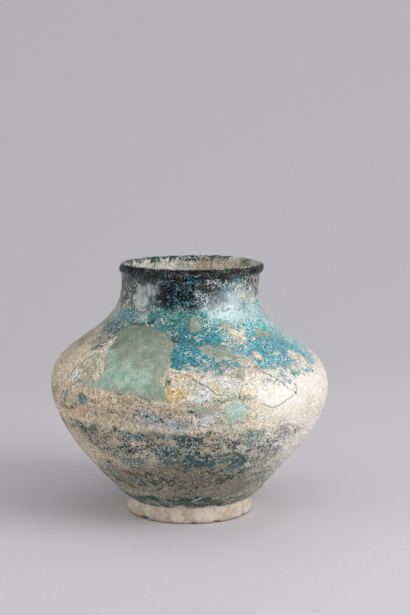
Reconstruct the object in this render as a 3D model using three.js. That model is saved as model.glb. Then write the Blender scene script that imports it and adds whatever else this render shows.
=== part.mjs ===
// A turquoise-glazed ceramic vase, broken long ago and put together again.
//
// Potter's pieces: a bare foot ring luted under a thrown lower body. Above the belly seam the
// shoulder is a ring of glued sherds, with plaster fills where old pieces are lost, and the neck
// with its rolled lip stands on the sherds. A thin glue gap lies between all neighbours.
//
// Millimetres, +Z up. The origin is the centre of the circle that the foot rests on, and the
// front of the vase faces -Y. Angles run from the front round to the right, towards +X.

import * as THREE from 'three';
import { mergeVertices } from 'three/addons/utils/BufferGeometryUtils.js';
import { TessellateModifier } from 'three/addons/modifiers/TessellateModifier.js';

// Heights, each counted from the one below it.
const FOOT_HEIGHT = 10;
const BELLY_RISE = 70; // foot to the widest part of the belly
const SHOULDER_RISE = 61; // belly to the narrowest part of the neck
const NECK_RISE = 11.5; // narrowest part of the neck to the middle of the rolled lip

// Outer radii.
const FOOT_RADIUS = 39;
const BELLY_RADIUS = 86;
const NECK_RADIUS = 42.2;
const RIM_RADIUS = 44.4;

// Walls and edges.
const WALL = 5;
const FLOOR = 7;
const FOOT_WIDTH = 8; // the foot ring's radial thickness
const FOOT_CHAMFER = 1.2;
const FOOT_LEDGE = 0.6; // how far the lower body stands out over the foot ring
const LIP_RADIUS = 3; // half the thickness of the rolled lip
const GLUE_GAP = 0.3;

// Breaks: where the two seams run, and how they wander between their corners.
const BELLY_SEAM_RISE = 3; // belly to the seam that the shoulder sherds stand on
const NECK_SEAM_DROP = 11; // narrowest part of the neck down to the seam that it stands on
const BREAK_STEP = 7; // longest straight stretch of a broken edge
const WANDER = 0.7; // how far a broken edge strays from a straight line
const WANDER_LENGTH = 21; // height of one wave of that straying
const WANDER_WAVES = 26; // whole waves of it in one turn round the vase

// Facets.
const FACET = 11; // longest edge across a sherd's face
const FOOT_SIDES = 48;
const WALL_ROWS = 7; // rows of facets up the lower body
const NECK_ROWS = 3; // rows of facets up the neck, and up the flare under its lip
const LIP_ROWS = 8;

// Shape of the two long curves: how far each handle reaches along its own rise or width.
const LOWER_LEAN_OUT = 0.609;
const LOWER_LEAN_UP = 0.417;
const LOWER_FULLNESS = 0.283;
const SHOULDER_FULLNESS = 0.482;
const NECK_FULLNESS = 0.53;
const LIP_START = THREE.MathUtils.degToRad(-60); // where the flare runs into the rolled lip
const LIP_END = THREE.MathUtils.degToRad(200);

const bellyHeight = FOOT_HEIGHT + BELLY_RISE;
const waistHeight = bellyHeight + SHOULDER_RISE;
const lipHeight = waistHeight + NECK_RISE;
const floorTop = FOOT_HEIGHT + FLOOR;
const bellySeam = bellyHeight + BELLY_SEAM_RISE;
const neckSeam = waistHeight - NECK_SEAM_DROP;
const lipCentre = new THREE.Vector2(RIM_RADIUS - LIP_RADIUS, lipHeight);

// A point of the rolled lip, at an angle above the horizontal.
function lipPoint(angle) {
  return new THREE.Vector2(Math.cos(angle), Math.sin(angle)).multiplyScalar(LIP_RADIUS).add(lipCentre);
}

// The outer profile from the foot to the lip, as (radius, height) curves that always climb.
const footJoin = new THREE.Vector2(FOOT_RADIUS + FOOT_LEDGE, FOOT_HEIGHT);
const belly = new THREE.Vector2(BELLY_RADIUS, bellyHeight);
const waist = new THREE.Vector2(NECK_RADIUS, waistHeight);
const lipJoin = lipPoint(LIP_START);
const profile = [
  new THREE.CubicBezierCurve(
    footJoin,
    new THREE.Vector2(
      footJoin.x + LOWER_LEAN_OUT * (belly.x - footJoin.x),
      footJoin.y + LOWER_LEAN_UP * BELLY_RISE,
    ),
    new THREE.Vector2(belly.x, belly.y - LOWER_FULLNESS * BELLY_RISE),
    belly,
  ),
  new THREE.CubicBezierCurve(
    belly,
    new THREE.Vector2(belly.x, belly.y + SHOULDER_FULLNESS * SHOULDER_RISE),
    new THREE.Vector2(waist.x, waist.y - NECK_FULLNESS * SHOULDER_RISE),
    waist,
  ),
  new THREE.QuadraticBezierCurve(waist, new THREE.Vector2(waist.x, (waist.y + lipJoin.y) / 2), lipJoin),
];

// The outer wall at a height: its radius, and its slope as radius gained per height.
function outerWall(height) {
  const curve = profile.find((c) => height <= c.getPoint(1).y) ?? profile.at(-1);
  let low = 0;
  let high = 1;
  while (high - low > 1e-7) {
    const middle = (low + high) / 2;
    if (curve.getPoint(middle).y < height) low = middle;
    else high = middle;
  }
  const tangent = curve.getTangent(low);
  return { radius: curve.getPoint(low).x, slope: tangent.x / tangent.y };
}

// The inner wall's point that lies square behind the outer wall at a height.
function innerPoint(height) {
  const { radius, slope } = outerWall(height);
  const square = new THREE.Vector2(1, -slope).setLength(WALL);
  return new THREE.Vector2(radius - square.x, Math.max(height - square.y, floorTop));
}

function outerPoint(height) {
  return new THREE.Vector2(outerWall(height).radius, height);
}

// A (radius, height) point turned to an angle from the front.
function turned(point, angle) {
  return new THREE.Vector3(point.x * Math.sin(angle), -point.x * Math.cos(angle), point.y);
}

// Corners of the breaks, as [degrees from the front, share of the way from belly seam to neck seam].
const corners = {
  // The belly seam, from the back left round the front to the back right.
  belly_back_left: [-110, -0.02],
  belly_left: [-60, 0.06],
  belly_chip: [-50, 0.17],
  belly_fill_left: [-44.5, 0.14],
  belly_fill_middle: [-35, 0.13],
  belly_fill_right: [-20, 0.085],
  belly_fill_end: [-8, 0.04],
  patch_left: [2, 0],
  patch_foot_left: [3, -0.085],
  patch_foot_right: [9, -0.1],
  patch_right: [10, -0.04],
  plug_left: [14.5, -0.075],
  plug_foot_left: [16.2, -0.19],
  plug_foot_right: [22, -0.185],
  plug_right: [22.8, -0.02],
  belly_dip_left: [29, -0.035],
  belly_dip: [34, -0.087],
  belly_dip_right: [42, -0.038],
  star: [47, 0.026],
  belly_right_drop: [53, -0.085],
  belly_right_middle: [75, -0.04],
  belly_right: [100, 0],
  belly_far_right: [150, -0.04],
  belly_far_left: [200, 0.02],
  // The neck seam.
  neck_back_left: [-110, 1],
  neck_left: [-47, 1],
  neck_crack: [-38.5, 0.98],
  neck_notch: [-32.5, 1.01],
  neck_front: [4, 1.02],
  neck_right: [50, 1],
  neck_back_right: [98, 1.01],
  neck_far_right: [149, 0.99],
  neck_far_left: [198, 1],
  // Round the large fill, and the small sherd on its left.
  curl_low: [-58.5, 0.2],
  curl_middle: [-56, 0.34],
  curl_high: [-51.5, 0.47],
  curl_top: [-45, 0.54],
  small_top: [-44, 0.48],
  small_right_high: [-40, 0.4],
  small_right: [-37.5, 0.28],
  small_right_low: [-39, 0.2],
  small_foot: [-46, 0.187],
  fill_left_high: [-50, 0.72],
  fill_top_left: [-47.5, 0.8],
  fill_crack: [-38, 0.83],
  crack_middle: [-40, 0.88],
  fill_top: [-30, 0.84],
  fill_top_right: [-22.5, 0.81],
  fill_slope: [-15, 0.77],
  fill_right_high: [-8.5, 0.68],
  fill_right_bulge: [-7, 0.61],
  fill_right: [-8.5, 0.51],
  fill_right_middle: [-9, 0.38],
  fill_right_nick: [-11, 0.3],
  fill_right_low: [-8.5, 0.17],
  // The break that runs down across the front.
  slant_high: [1, 0.33],
  slant_middle: [6, 0.235],
  slant_low: [10.5, 0.13],
  slant_end: [12.5, 0.113],
  plug_top_left: [16, 0.038],
  plug_top_right: [20, 0.053],
  // The small fills of the front.
  disc_foot: [4.5, 0.776],
  disc_foot_left: [2, 0.79],
  disc_left: [-0.5, 0.834],
  disc_top_left: [1, 0.93],
  disc_top: [4, 0.945],
  disc_top_right: [7.5, 0.935],
  disc_right: [9.5, 0.868],
  disc_foot_right: [7, 0.79],
  sliver_left: [4.5, 0.62],
  sliver_foot_left: [7.5, 0.57],
  sliver_foot: [14, 0.51],
  sliver_foot_right: [22.5, 0.468],
  sliver_right: [25.5, 0.506],
  sliver_top_right: [19.5, 0.596],
  sliver_top: [11.5, 0.643],
  wedge_top: [22.5, 0.387],
  wedge_left_high: [20, 0.378],
  wedge_left: [20.5, 0.294],
  wedge_foot: [22.5, 0.255],
  wedge_right: [25, 0.35],
  short_crack: [22, 0.19],
  // The breaks that meet at the star on the right.
  ray_high: [31, 0.383],
  ray_middle: [38.5, 0.234],
  ray_low: [43, 0.123],
  spur_low: [49, 0.117],
  spur_high: [46.5, 0.223],
  leaf_left: [46, 0.68],
  leaf_foot: [58, 0.651],
  leaf_right: [65.5, 0.677],
  leaf_top_right: [56, 0.734],
  leaf_top: [50, 0.749],
  // The breaks of the back.
  back_right_low: [97, 0.36],
  back_right_high: [102, 0.68],
  far_right_low: [146, 0.32],
  far_right_high: [153, 0.68],
  far_left_low: [196, 0.36],
  far_left_high: [203, 0.66],
  back_left_low: [-113, 0.32],
  back_left_high: [-107, 0.64],
};

// The lines that the pieces share, as rows of corners. A piece's outline joins such lines.
const lines = {
  curl: ['belly_left', 'curl_low', 'curl_middle', 'curl_high', 'curl_top'],
  small_side: ['belly_chip', 'small_foot', 'small_right_low', 'small_right', 'small_right_high', 'small_top',
    'curl_top'],
  fill_left: ['curl_top', 'fill_left_high', 'fill_top_left', 'fill_crack'],
  fill_right_low: ['belly_fill_end', 'fill_right_low', 'fill_right_nick', 'fill_right_middle'],
  fill_right_high: ['fill_right_middle', 'fill_right', 'fill_right_bulge', 'fill_right_high', 'fill_slope',
    'fill_top_right', 'fill_top', 'fill_crack'],
  crack: ['fill_crack', 'crack_middle', 'neck_crack'],
  slant: ['fill_right_middle', 'slant_high', 'slant_middle', 'slant_low', 'slant_end', 'plug_top_left'],
  disc_left: ['disc_foot', 'disc_foot_left', 'disc_left', 'disc_top_left', 'disc_top'],
  disc_right: ['disc_foot', 'disc_foot_right', 'disc_right', 'disc_top_right', 'disc_top'],
  disc_neck: ['disc_top', 'neck_front'],
  disc_sliver: ['sliver_left', 'disc_foot'],
  sliver_low: ['sliver_left', 'sliver_foot_left', 'sliver_foot', 'sliver_foot_right'],
  sliver_end: ['sliver_foot_right', 'sliver_right'],
  sliver_high: ['sliver_left', 'sliver_top', 'sliver_top_right', 'sliver_right'],
  wedge_neck: ['wedge_top', 'sliver_foot_right'],
  wedge_left: ['wedge_foot', 'wedge_left', 'wedge_left_high', 'wedge_top'],
  wedge_right: ['wedge_foot', 'wedge_right', 'wedge_top'],
  short_crack: ['plug_top_right', 'short_crack', 'wedge_foot'],
  ray: ['star', 'ray_low', 'ray_middle', 'ray_high', 'sliver_right'],
  spur: ['star', 'spur_low', 'spur_high', 'leaf_left'],
  leaf_low: ['leaf_left', 'leaf_foot', 'leaf_right', 'leaf_top_right', 'leaf_top'],
  leaf_high: ['leaf_left', 'leaf_top'],
  leaf_neck: ['leaf_top', 'neck_right'],
  back_right: ['belly_right', 'back_right_low', 'back_right_high', 'neck_back_right'],
  far_right: ['belly_far_right', 'far_right_low', 'far_right_high', 'neck_far_right'],
  far_left: ['belly_far_left', 'far_left_low', 'far_left_high', 'neck_far_left'],
  back_left: ['belly_back_left', 'back_left_low', 'back_left_high', 'neck_back_left'],
  patch_top: ['patch_left', 'patch_right'],
  plug_top: ['plug_left', 'plug_top_left', 'plug_top_right', 'plug_right'],
};

// The whole belly seam as the lower body's edge follows it, dipping under the two fills that it holds.
const bellyEdge = ['belly_back_left', 'belly_left', 'belly_chip', 'belly_fill_left', 'belly_fill_middle',
  'belly_fill_right', 'belly_fill_end', 'patch_left', 'patch_foot_left', 'patch_foot_right', 'patch_right',
  'plug_left', 'plug_foot_left', 'plug_foot_right', 'plug_right', 'belly_dip_left', 'belly_dip',
  'belly_dip_right', 'star', 'belly_right_drop', 'belly_right_middle', 'belly_right', 'belly_far_right',
  'belly_far_left'];
const neckEdge = ['neck_back_left', 'neck_left', 'neck_crack', 'neck_notch', 'neck_front', 'neck_right',
  'neck_back_right', 'neck_far_right', 'neck_far_left'];

// A stretch of a seam's edge from one corner to another, going right, past the seam's start if need be.
function seam(edge, from, to) {
  const twice = [...edge, ...edge];
  const start = edge.indexOf(from);
  return twice.slice(start, twice.indexOf(to, start) + 1);
}

function back(line) {
  return [...line].reverse();
}

const glaze = { roughness: 0.35, metalness: 0 };
const plaster = { roughness: 0.8, metalness: 0 };
const turquoise = { color: '#3f8b98', ...glaze };
const worn = { color: '#d3cabb', ...glaze };
const toned = { color: '#8fa18d', ...plaster };
const tonedGreen = { color: '#8db5a2', ...plaster };

// The sherds and fills of the shoulder. An outline runs to the right along its foot and back along its top.
const sherds = [
  {
    name: 'shoulder_sherd_left', finish: worn,
    outline: [seam(bellyEdge, 'belly_back_left', 'belly_left'), lines.curl, lines.fill_left, lines.crack,
      back(seam(neckEdge, 'neck_back_left', 'neck_crack')), back(lines.back_left)],
  },
  {
    name: 'shoulder_sherd_small', finish: worn,
    outline: [seam(bellyEdge, 'belly_left', 'belly_chip'), lines.small_side, back(lines.curl)],
  },
  {
    name: 'plaster_fill_large', finish: toned,
    outline: [seam(bellyEdge, 'belly_chip', 'belly_fill_end'), lines.fill_right_low, lines.fill_right_high,
      back(lines.fill_left), back(lines.small_side)],
  },
  {
    name: 'belly_sherd_front', finish: worn,
    outline: [seam(bellyEdge, 'belly_fill_end', 'patch_left'), lines.patch_top,
      ['patch_right', 'plug_left', 'plug_top_left'], back(lines.slant), back(lines.fill_right_low)],
  },
  {
    name: 'shoulder_sherd_front', finish: turquoise,
    outline: [lines.slant, ['plug_top_left', 'plug_top_right'], lines.short_crack, lines.wedge_left,
      lines.wedge_neck, back(lines.sliver_low), lines.disc_sliver, lines.disc_left, lines.disc_neck,
      back(seam(neckEdge, 'neck_crack', 'neck_front')), back(lines.crack), back(lines.fill_right_high)],
  },
  {
    name: 'shoulder_sherd_front_right', finish: turquoise,
    outline: [back(lines.ray), lines.spur, lines.leaf_high, lines.leaf_neck,
      back(seam(neckEdge, 'neck_front', 'neck_right')), back(lines.disc_neck), back(lines.disc_right),
      back(lines.disc_sliver), lines.sliver_high],
  },
  {
    name: 'belly_sherd_right', finish: worn,
    outline: [['plug_top_right', 'plug_right'], seam(bellyEdge, 'plug_right', 'star'), lines.ray,
      back(lines.sliver_end), back(lines.wedge_neck), back(lines.wedge_right), back(lines.short_crack)],
  },
  {
    name: 'shoulder_sherd_right', finish: turquoise,
    outline: [seam(bellyEdge, 'star', 'belly_right'), lines.back_right,
      back(seam(neckEdge, 'neck_right', 'neck_back_right')), back(lines.leaf_neck), back(lines.leaf_low),
      back(lines.spur)],
  },
  {
    name: 'shoulder_sherd_back_right', finish: worn,
    outline: [seam(bellyEdge, 'belly_right', 'belly_far_right'), lines.far_right,
      back(seam(neckEdge, 'neck_back_right', 'neck_far_right')), back(lines.back_right)],
  },
  {
    name: 'shoulder_sherd_back', finish: turquoise,
    outline: [seam(bellyEdge, 'belly_far_right', 'belly_far_left'), lines.far_left,
      back(seam(neckEdge, 'neck_far_right', 'neck_far_left')), back(lines.far_right)],
  },
  {
    name: 'shoulder_sherd_back_left', finish: worn,
    outline: [seam(bellyEdge, 'belly_far_left', 'belly_back_left'), lines.back_left,
      back(seam(neckEdge, 'neck_far_left', 'neck_back_left')), back(lines.far_left)],
  },
  { name: 'plaster_fill_disc', finish: toned, outline: [lines.disc_right, back(lines.disc_left)] },
  {
    name: 'plaster_fill_sliver', finish: toned,
    outline: [lines.sliver_low, lines.sliver_end, back(lines.sliver_high)],
  },
  { name: 'plaster_fill_wedge', finish: toned, outline: [lines.wedge_right, back(lines.wedge_left)] },
  { name: 'plaster_fill_leaf', finish: toned, outline: [lines.leaf_low, back(lines.leaf_high)] },
  {
    name: 'plaster_fill_patch', finish: toned,
    outline: [seam(bellyEdge, 'patch_left', 'patch_right'), back(lines.patch_top)],
  },
  {
    name: 'plaster_fill_plug', finish: tonedGreen,
    outline: [seam(bellyEdge, 'plug_left', 'plug_right'), back(lines.plug_top)],
  },
];

// How long a small move in angle and in height is on the outer wall at a height.
function stretch(height) {
  const { radius, slope } = outerWall(height);
  return new THREE.Vector2(radius, Math.hypot(1, slope));
}

// A closed row of corner names as points of (angle, height), going round without a jump of a full turn.
function cornerLoop(names) {
  let last = 0;
  return names.map((name) => {
    const [degrees, share] = corners[name];
    last = degrees + 360 * Math.round((last - degrees) / 360);
    const height = THREE.MathUtils.lerp(bellySeam, neckSeam, share);
    return new THREE.Vector2(THREE.MathUtils.degToRad(last), height);
  });
}

// A point of a break, strayed from its straight line. Neighbours stray alike because only the place counts.
function strayed(point) {
  const scale = stretch(point.y);
  const across = point.x * WANDER_WAVES;
  const up = (2 * Math.PI * point.y) / WANDER_LENGTH;
  return new THREE.Vector2(
    point.x + (WANDER / scale.x) * Math.sin(up + across),
    point.y + (WANDER / scale.y) * Math.sin(across - up),
  );
}

// A loop of corners as a loop of broken edge: short steps, each strayed. The last point joins the first.
function brokenEdge(loop, turnsRound) {
  return loop.flatMap((from, i) => {
    const to = loop[(i + 1) % loop.length].clone();
    if (turnsRound && i === loop.length - 1) to.x += 2 * Math.PI;
    const scale = stretch((from.y + to.y) / 2);
    const steps = Math.ceil(Math.hypot((to.x - from.x) * scale.x, (to.y - from.y) * scale.y) / BREAK_STEP);
    return Array.from({ length: steps }, (_, k) => strayed(from.clone().lerp(to, k / steps)));
  });
}

// A closed outline drawn in by half the glue gap on every side.
function drawnIn(outline) {
  return outline.map((point, i) => {
    const scale = stretch(point.y);
    const before = outline.at(i - 1).clone().sub(point).multiply(scale).normalize();
    const after = outline[(i + 1) % outline.length].clone().sub(point).multiply(scale).normalize();
    const squareBefore = new THREE.Vector2(before.y, -before.x);
    const squareAfter = new THREE.Vector2(-after.y, after.x);
    const inward = squareBefore.clone().add(squareAfter).divideScalar(1 + squareBefore.dot(squareAfter));
    return inward.multiplyScalar(GLUE_GAP / 2).divide(scale).add(point);
  });
}

// A geometry from a list of triangles, each of three points, with equal points joined.
function fromTriangles(triangles) {
  const geometry = mergeVertices(new THREE.BufferGeometry().setFromPoints(triangles.flat()));
  geometry.computeVertexNormals();
  return geometry;
}

// A curved tile of the wall inside a drawn-in outline: outer face, inner face and the broken edge between.
function tile(outline) {
  const flat = new THREE.ShapeGeometry(
    new THREE.Shape(outline.map((p) => new THREE.Vector2(p.x * BELLY_RADIUS, p.y))),
  );
  const fine = new TessellateModifier(FACET, 8).modify(flat);
  fine.deleteAttribute('normal');
  fine.deleteAttribute('uv');
  const joined = mergeVertices(fine);
  const places = joined.getAttribute('position');
  const outer = [];
  const inner = [];
  for (let i = 0; i < places.count; i++) {
    const angle = places.getX(i) / BELLY_RADIUS;
    outer.push(turned(outerPoint(places.getY(i)), angle));
    inner.push(turned(innerPoint(places.getY(i)), angle));
  }
  const triangles = [];
  const edges = new Map();
  for (let i = 0; i < joined.index.count; i += 3) {
    const [a, b, c] = [0, 1, 2].map((k) => joined.index.getX(i + k));
    triangles.push([outer[a], outer[b], outer[c]], [inner[a], inner[c], inner[b]]);
    for (const [from, to] of [[a, b], [b, c], [c, a]]) {
      if (!edges.delete(`${to} ${from}`)) edges.set(`${from} ${to}`, [from, to]);
    }
  }
  for (const [from, to] of edges.values()) {
    triangles.push([outer[from], inner[from], outer[to]], [outer[to], inner[from], inner[to]]);
  }
  return fromTriangles(triangles);
}

// A skin through sections that stand round the axis. A closed section joins its last point to its first.
function skin(sections, closed) {
  const triangles = [];
  const rows = sections[0].length;
  sections.forEach((here, i) => {
    const next = sections[(i + 1) % sections.length];
    for (let j = 0; j < (closed ? rows : rows - 1); j++) {
      const k = (j + 1) % rows;
      if (!here[j].equals(next[j])) triangles.push([here[j], next[j], next[k]]);
      if (!here[k].equals(next[k])) triangles.push([here[j], next[k], here[k]]);
    }
  });
  return fromTriangles(triangles);
}

// Evenly spaced values from one to another, both counted in.
function spaced(from, to, steps) {
  return Array.from({ length: steps + 1 }, (_, i) => THREE.MathUtils.lerp(from, to, i / steps));
}

// The bare ring that the vase stands on, with its rims taken off at the floor.
function footRing() {
  const top = FOOT_HEIGHT - GLUE_GAP;
  const inside = FOOT_RADIUS - FOOT_WIDTH;
  const outline = [
    [inside + FOOT_CHAMFER, 0],
    [FOOT_RADIUS - FOOT_CHAMFER, 0],
    [FOOT_RADIUS, FOOT_CHAMFER],
    [FOOT_RADIUS, top],
    [inside, top],
    [inside, FOOT_CHAMFER],
    [inside + FOOT_CHAMFER, 0],
  ];
  const ring = new THREE.LatheGeometry(outline.map(([x, y]) => new THREE.Vector2(x, y)), FOOT_SIDES);
  return ring.rotateX(Math.PI / 2);
}

// The bowl from the foot up to the belly seam, closed by the floor.
function lowerBody() {
  const axisPoint = (height) => new THREE.Vector2(0, height);
  const edge = brokenEdge(cornerLoop(bellyEdge), true);
  const sections = edge.map(({ x: angle, y: height }) => {
    const brim = height - GLUE_GAP / 2 / stretch(height).y;
    const heights = spaced(FOOT_HEIGHT, brim, WALL_ROWS);
    const section = [
      axisPoint(FOOT_HEIGHT),
      ...heights.map(outerPoint),
      ...back(heights).map(innerPoint),
      axisPoint(floorTop),
    ];
    return section.map((point) => turned(point, angle));
  });
  return skin(sections, false);
}

// The neck from its seam up to the rolled lip, and down again inside.
function neck() {
  const edge = brokenEdge(cornerLoop(neckEdge), true);
  const lip = spaced(LIP_START, LIP_END, LIP_ROWS).map(lipPoint);
  const flare = spaced(waistHeight, lipJoin.y, NECK_ROWS).slice(1, -1).map(outerPoint);
  const sections = edge.map(({ x: angle, y: height }) => {
    const brim = height + GLUE_GAP / 2 / stretch(height).y;
    const heights = spaced(brim, waistHeight, NECK_ROWS);
    const section = [...heights.map(outerPoint), ...flare, ...lip, ...back(heights).map(innerPoint)];
    return section.map((point) => turned(point, angle));
  });
  return skin(sections, true);
}

// An outline's lines as one loop of corner names, each corner once.
function joinedNames(outline) {
  const names = outline.flat();
  return names.filter((name, i) => name !== names.at(i - 1));
}

const vase = new THREE.Group();
vase.name = 'ceramic_vase';

function add(name, geometry, finish) {
  const mesh = new THREE.Mesh(geometry, new THREE.MeshStandardMaterial(finish));
  mesh.name = name;
  vase.add(mesh);
}

add('foot_ring', footRing(), { color: '#cdb8a3', ...plaster });
add('lower_body', lowerBody(), { color: '#a29d8b', ...glaze });
for (const { name, finish, outline } of sherds) {
  add(name, tile(drawnIn(brokenEdge(cornerLoop(joinedNames(outline)), false))), finish);
}
add('neck', neck(), { color: '#4c6067', ...glaze });

export default vase;
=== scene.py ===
"""Looks of a mended, turquoise-glazed ceramic vase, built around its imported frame.

Lengths are metres, as in the frame. A place on the wall is an angle, in radians from the front
round to the right, and a height above the floor.
"""

import math
from typing import NamedTuple

import bmesh
import bpy
import numpy as np
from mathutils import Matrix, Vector, kdtree, noise
from mathutils.geometry import delaunay_2d_cdt, interpolate_bezier


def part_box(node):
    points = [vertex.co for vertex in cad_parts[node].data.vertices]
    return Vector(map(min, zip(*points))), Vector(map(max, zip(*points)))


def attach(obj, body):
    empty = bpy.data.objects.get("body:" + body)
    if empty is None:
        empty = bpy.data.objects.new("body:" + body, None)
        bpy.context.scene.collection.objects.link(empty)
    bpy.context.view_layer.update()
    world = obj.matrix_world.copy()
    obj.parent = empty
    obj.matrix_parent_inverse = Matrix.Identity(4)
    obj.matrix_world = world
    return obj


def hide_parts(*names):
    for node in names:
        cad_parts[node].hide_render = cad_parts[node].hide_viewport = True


bl_info = {
    "name": "Mended Turquoise Vase",
    "version": (1, 0, 0),
    "blender": (4, 5, 0),
    "location": "3D View > Sidebar > Vase",
    "description": "Makes the glazed sherds, plaster fills, neck, bowl and foot of a mended vase",
    "category": "Add Mesh",
}

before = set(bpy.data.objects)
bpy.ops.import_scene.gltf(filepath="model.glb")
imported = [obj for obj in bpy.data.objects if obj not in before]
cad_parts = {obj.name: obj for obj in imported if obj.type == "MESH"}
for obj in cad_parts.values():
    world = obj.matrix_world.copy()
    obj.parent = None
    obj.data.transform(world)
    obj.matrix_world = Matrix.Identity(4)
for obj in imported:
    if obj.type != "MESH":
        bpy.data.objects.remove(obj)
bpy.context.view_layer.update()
BODY = "root"
MM = 0.001
TURN = 2 * math.pi

GLAZED_SHERDS = (
    "shoulder_sherd_left",
    "shoulder_sherd_small",
    "shoulder_sherd_front",
    "shoulder_sherd_front_right",
    "shoulder_sherd_right",
    "shoulder_sherd_back_right",
    "shoulder_sherd_back",
    "shoulder_sherd_back_left",
    "belly_sherd_front",
    "belly_sherd_right",
)
PLASTER_FILLS = (
    "plaster_fill_large",
    "plaster_fill_disc",
    "plaster_fill_sliver",
    "plaster_fill_wedge",
    "plaster_fill_leaf",
    "plaster_fill_patch",
    "plaster_fill_plug",
)


# Sizes from the frame, and colours


def reach(node):
    """How far a node reaches from the vase's axis."""
    return max(math.hypot(vert.co.x, vert.co.y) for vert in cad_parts[node].data.vertices)


def linear(hex_colour):
    """An sRGB hex colour as linear red, green and blue, with full opacity."""
    parts = [int(hex_colour[i : i + 2], 16) / 255 for i in (1, 3, 5)]
    return (*(c / 12.92 if c <= 0.04045 else ((c + 0.055) / 1.055) ** 2.4 for c in parts), 1.0)


# Sizes and colours that a user would change


class VaseShape(bpy.types.PropertyGroup):
    """Sizes of the thrown form and of its surface."""

    foot_radius: bpy.props.FloatProperty(
        name="Foot radius", description="Outer radius of the foot ring",
        default=reach("foot_ring"), unit="LENGTH",
    )
    foot_width: bpy.props.FloatProperty(
        name="Foot width", description="Radial thickness of the foot ring",
        default=8 * MM, unit="LENGTH",
    )
    body_bottom: bpy.props.FloatProperty(
        name="Body underside", description="Height of the underside of the lower body",
        default=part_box("lower_body")[0].z, unit="LENGTH",
    )
    foot_ledge: bpy.props.FloatProperty(
        name="Foot ledge", description="How far the lower body stands out over the foot ring",
        default=0.6 * MM, unit="LENGTH",
    )
    belly_radius: bpy.props.FloatProperty(
        name="Belly radius", description="Outer radius at the widest part",
        default=reach("lower_body"), unit="LENGTH",
    )
    belly_height: bpy.props.FloatProperty(
        name="Belly height", description="Height of the widest part",
        default=80 * MM, unit="LENGTH",
    )
    waist_radius: bpy.props.FloatProperty(
        name="Neck radius", description="Outer radius at the narrowest part of the neck",
        default=42.2 * MM, unit="LENGTH",
    )
    waist_height: bpy.props.FloatProperty(
        name="Neck height", description="Height of the narrowest part of the neck",
        default=141 * MM, unit="LENGTH",
    )
    rim_radius: bpy.props.FloatProperty(
        name="Rim radius", description="Outer radius of the rolled lip",
        default=44.4 * MM, unit="LENGTH",
    )
    rim_height: bpy.props.FloatProperty(
        name="Rim height", description="Height of the top of the lip",
        default=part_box("neck")[1].z, unit="LENGTH",
    )
    lip_radius: bpy.props.FloatProperty(
        name="Lip radius", description="Half the thickness of the rolled lip",
        default=3 * MM, unit="LENGTH",
    )
    wall: bpy.props.FloatProperty(
        name="Wall", description="Thickness of the wall",
        default=5 * MM, unit="LENGTH",
    )
    floor: bpy.props.FloatProperty(
        name="Floor", description="Thickness of the floor",
        default=7 * MM, unit="LENGTH",
    )
    facet: bpy.props.FloatProperty(
        name="Facet", description="Spacing of the points of the outer surface",
        default=0.9 * MM, unit="LENGTH",
    )
    inner_facet: bpy.props.FloatProperty(
        name="Inner facet", description="Spacing of the points of the inner surface",
        default=3.5 * MM, unit="LENGTH",
    )
    joint_gap: bpy.props.FloatProperty(
        name="Joint gap", description="Width of a closed joint between two pieces",
        default=0.01 * MM, unit="LENGTH",
    )


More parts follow.
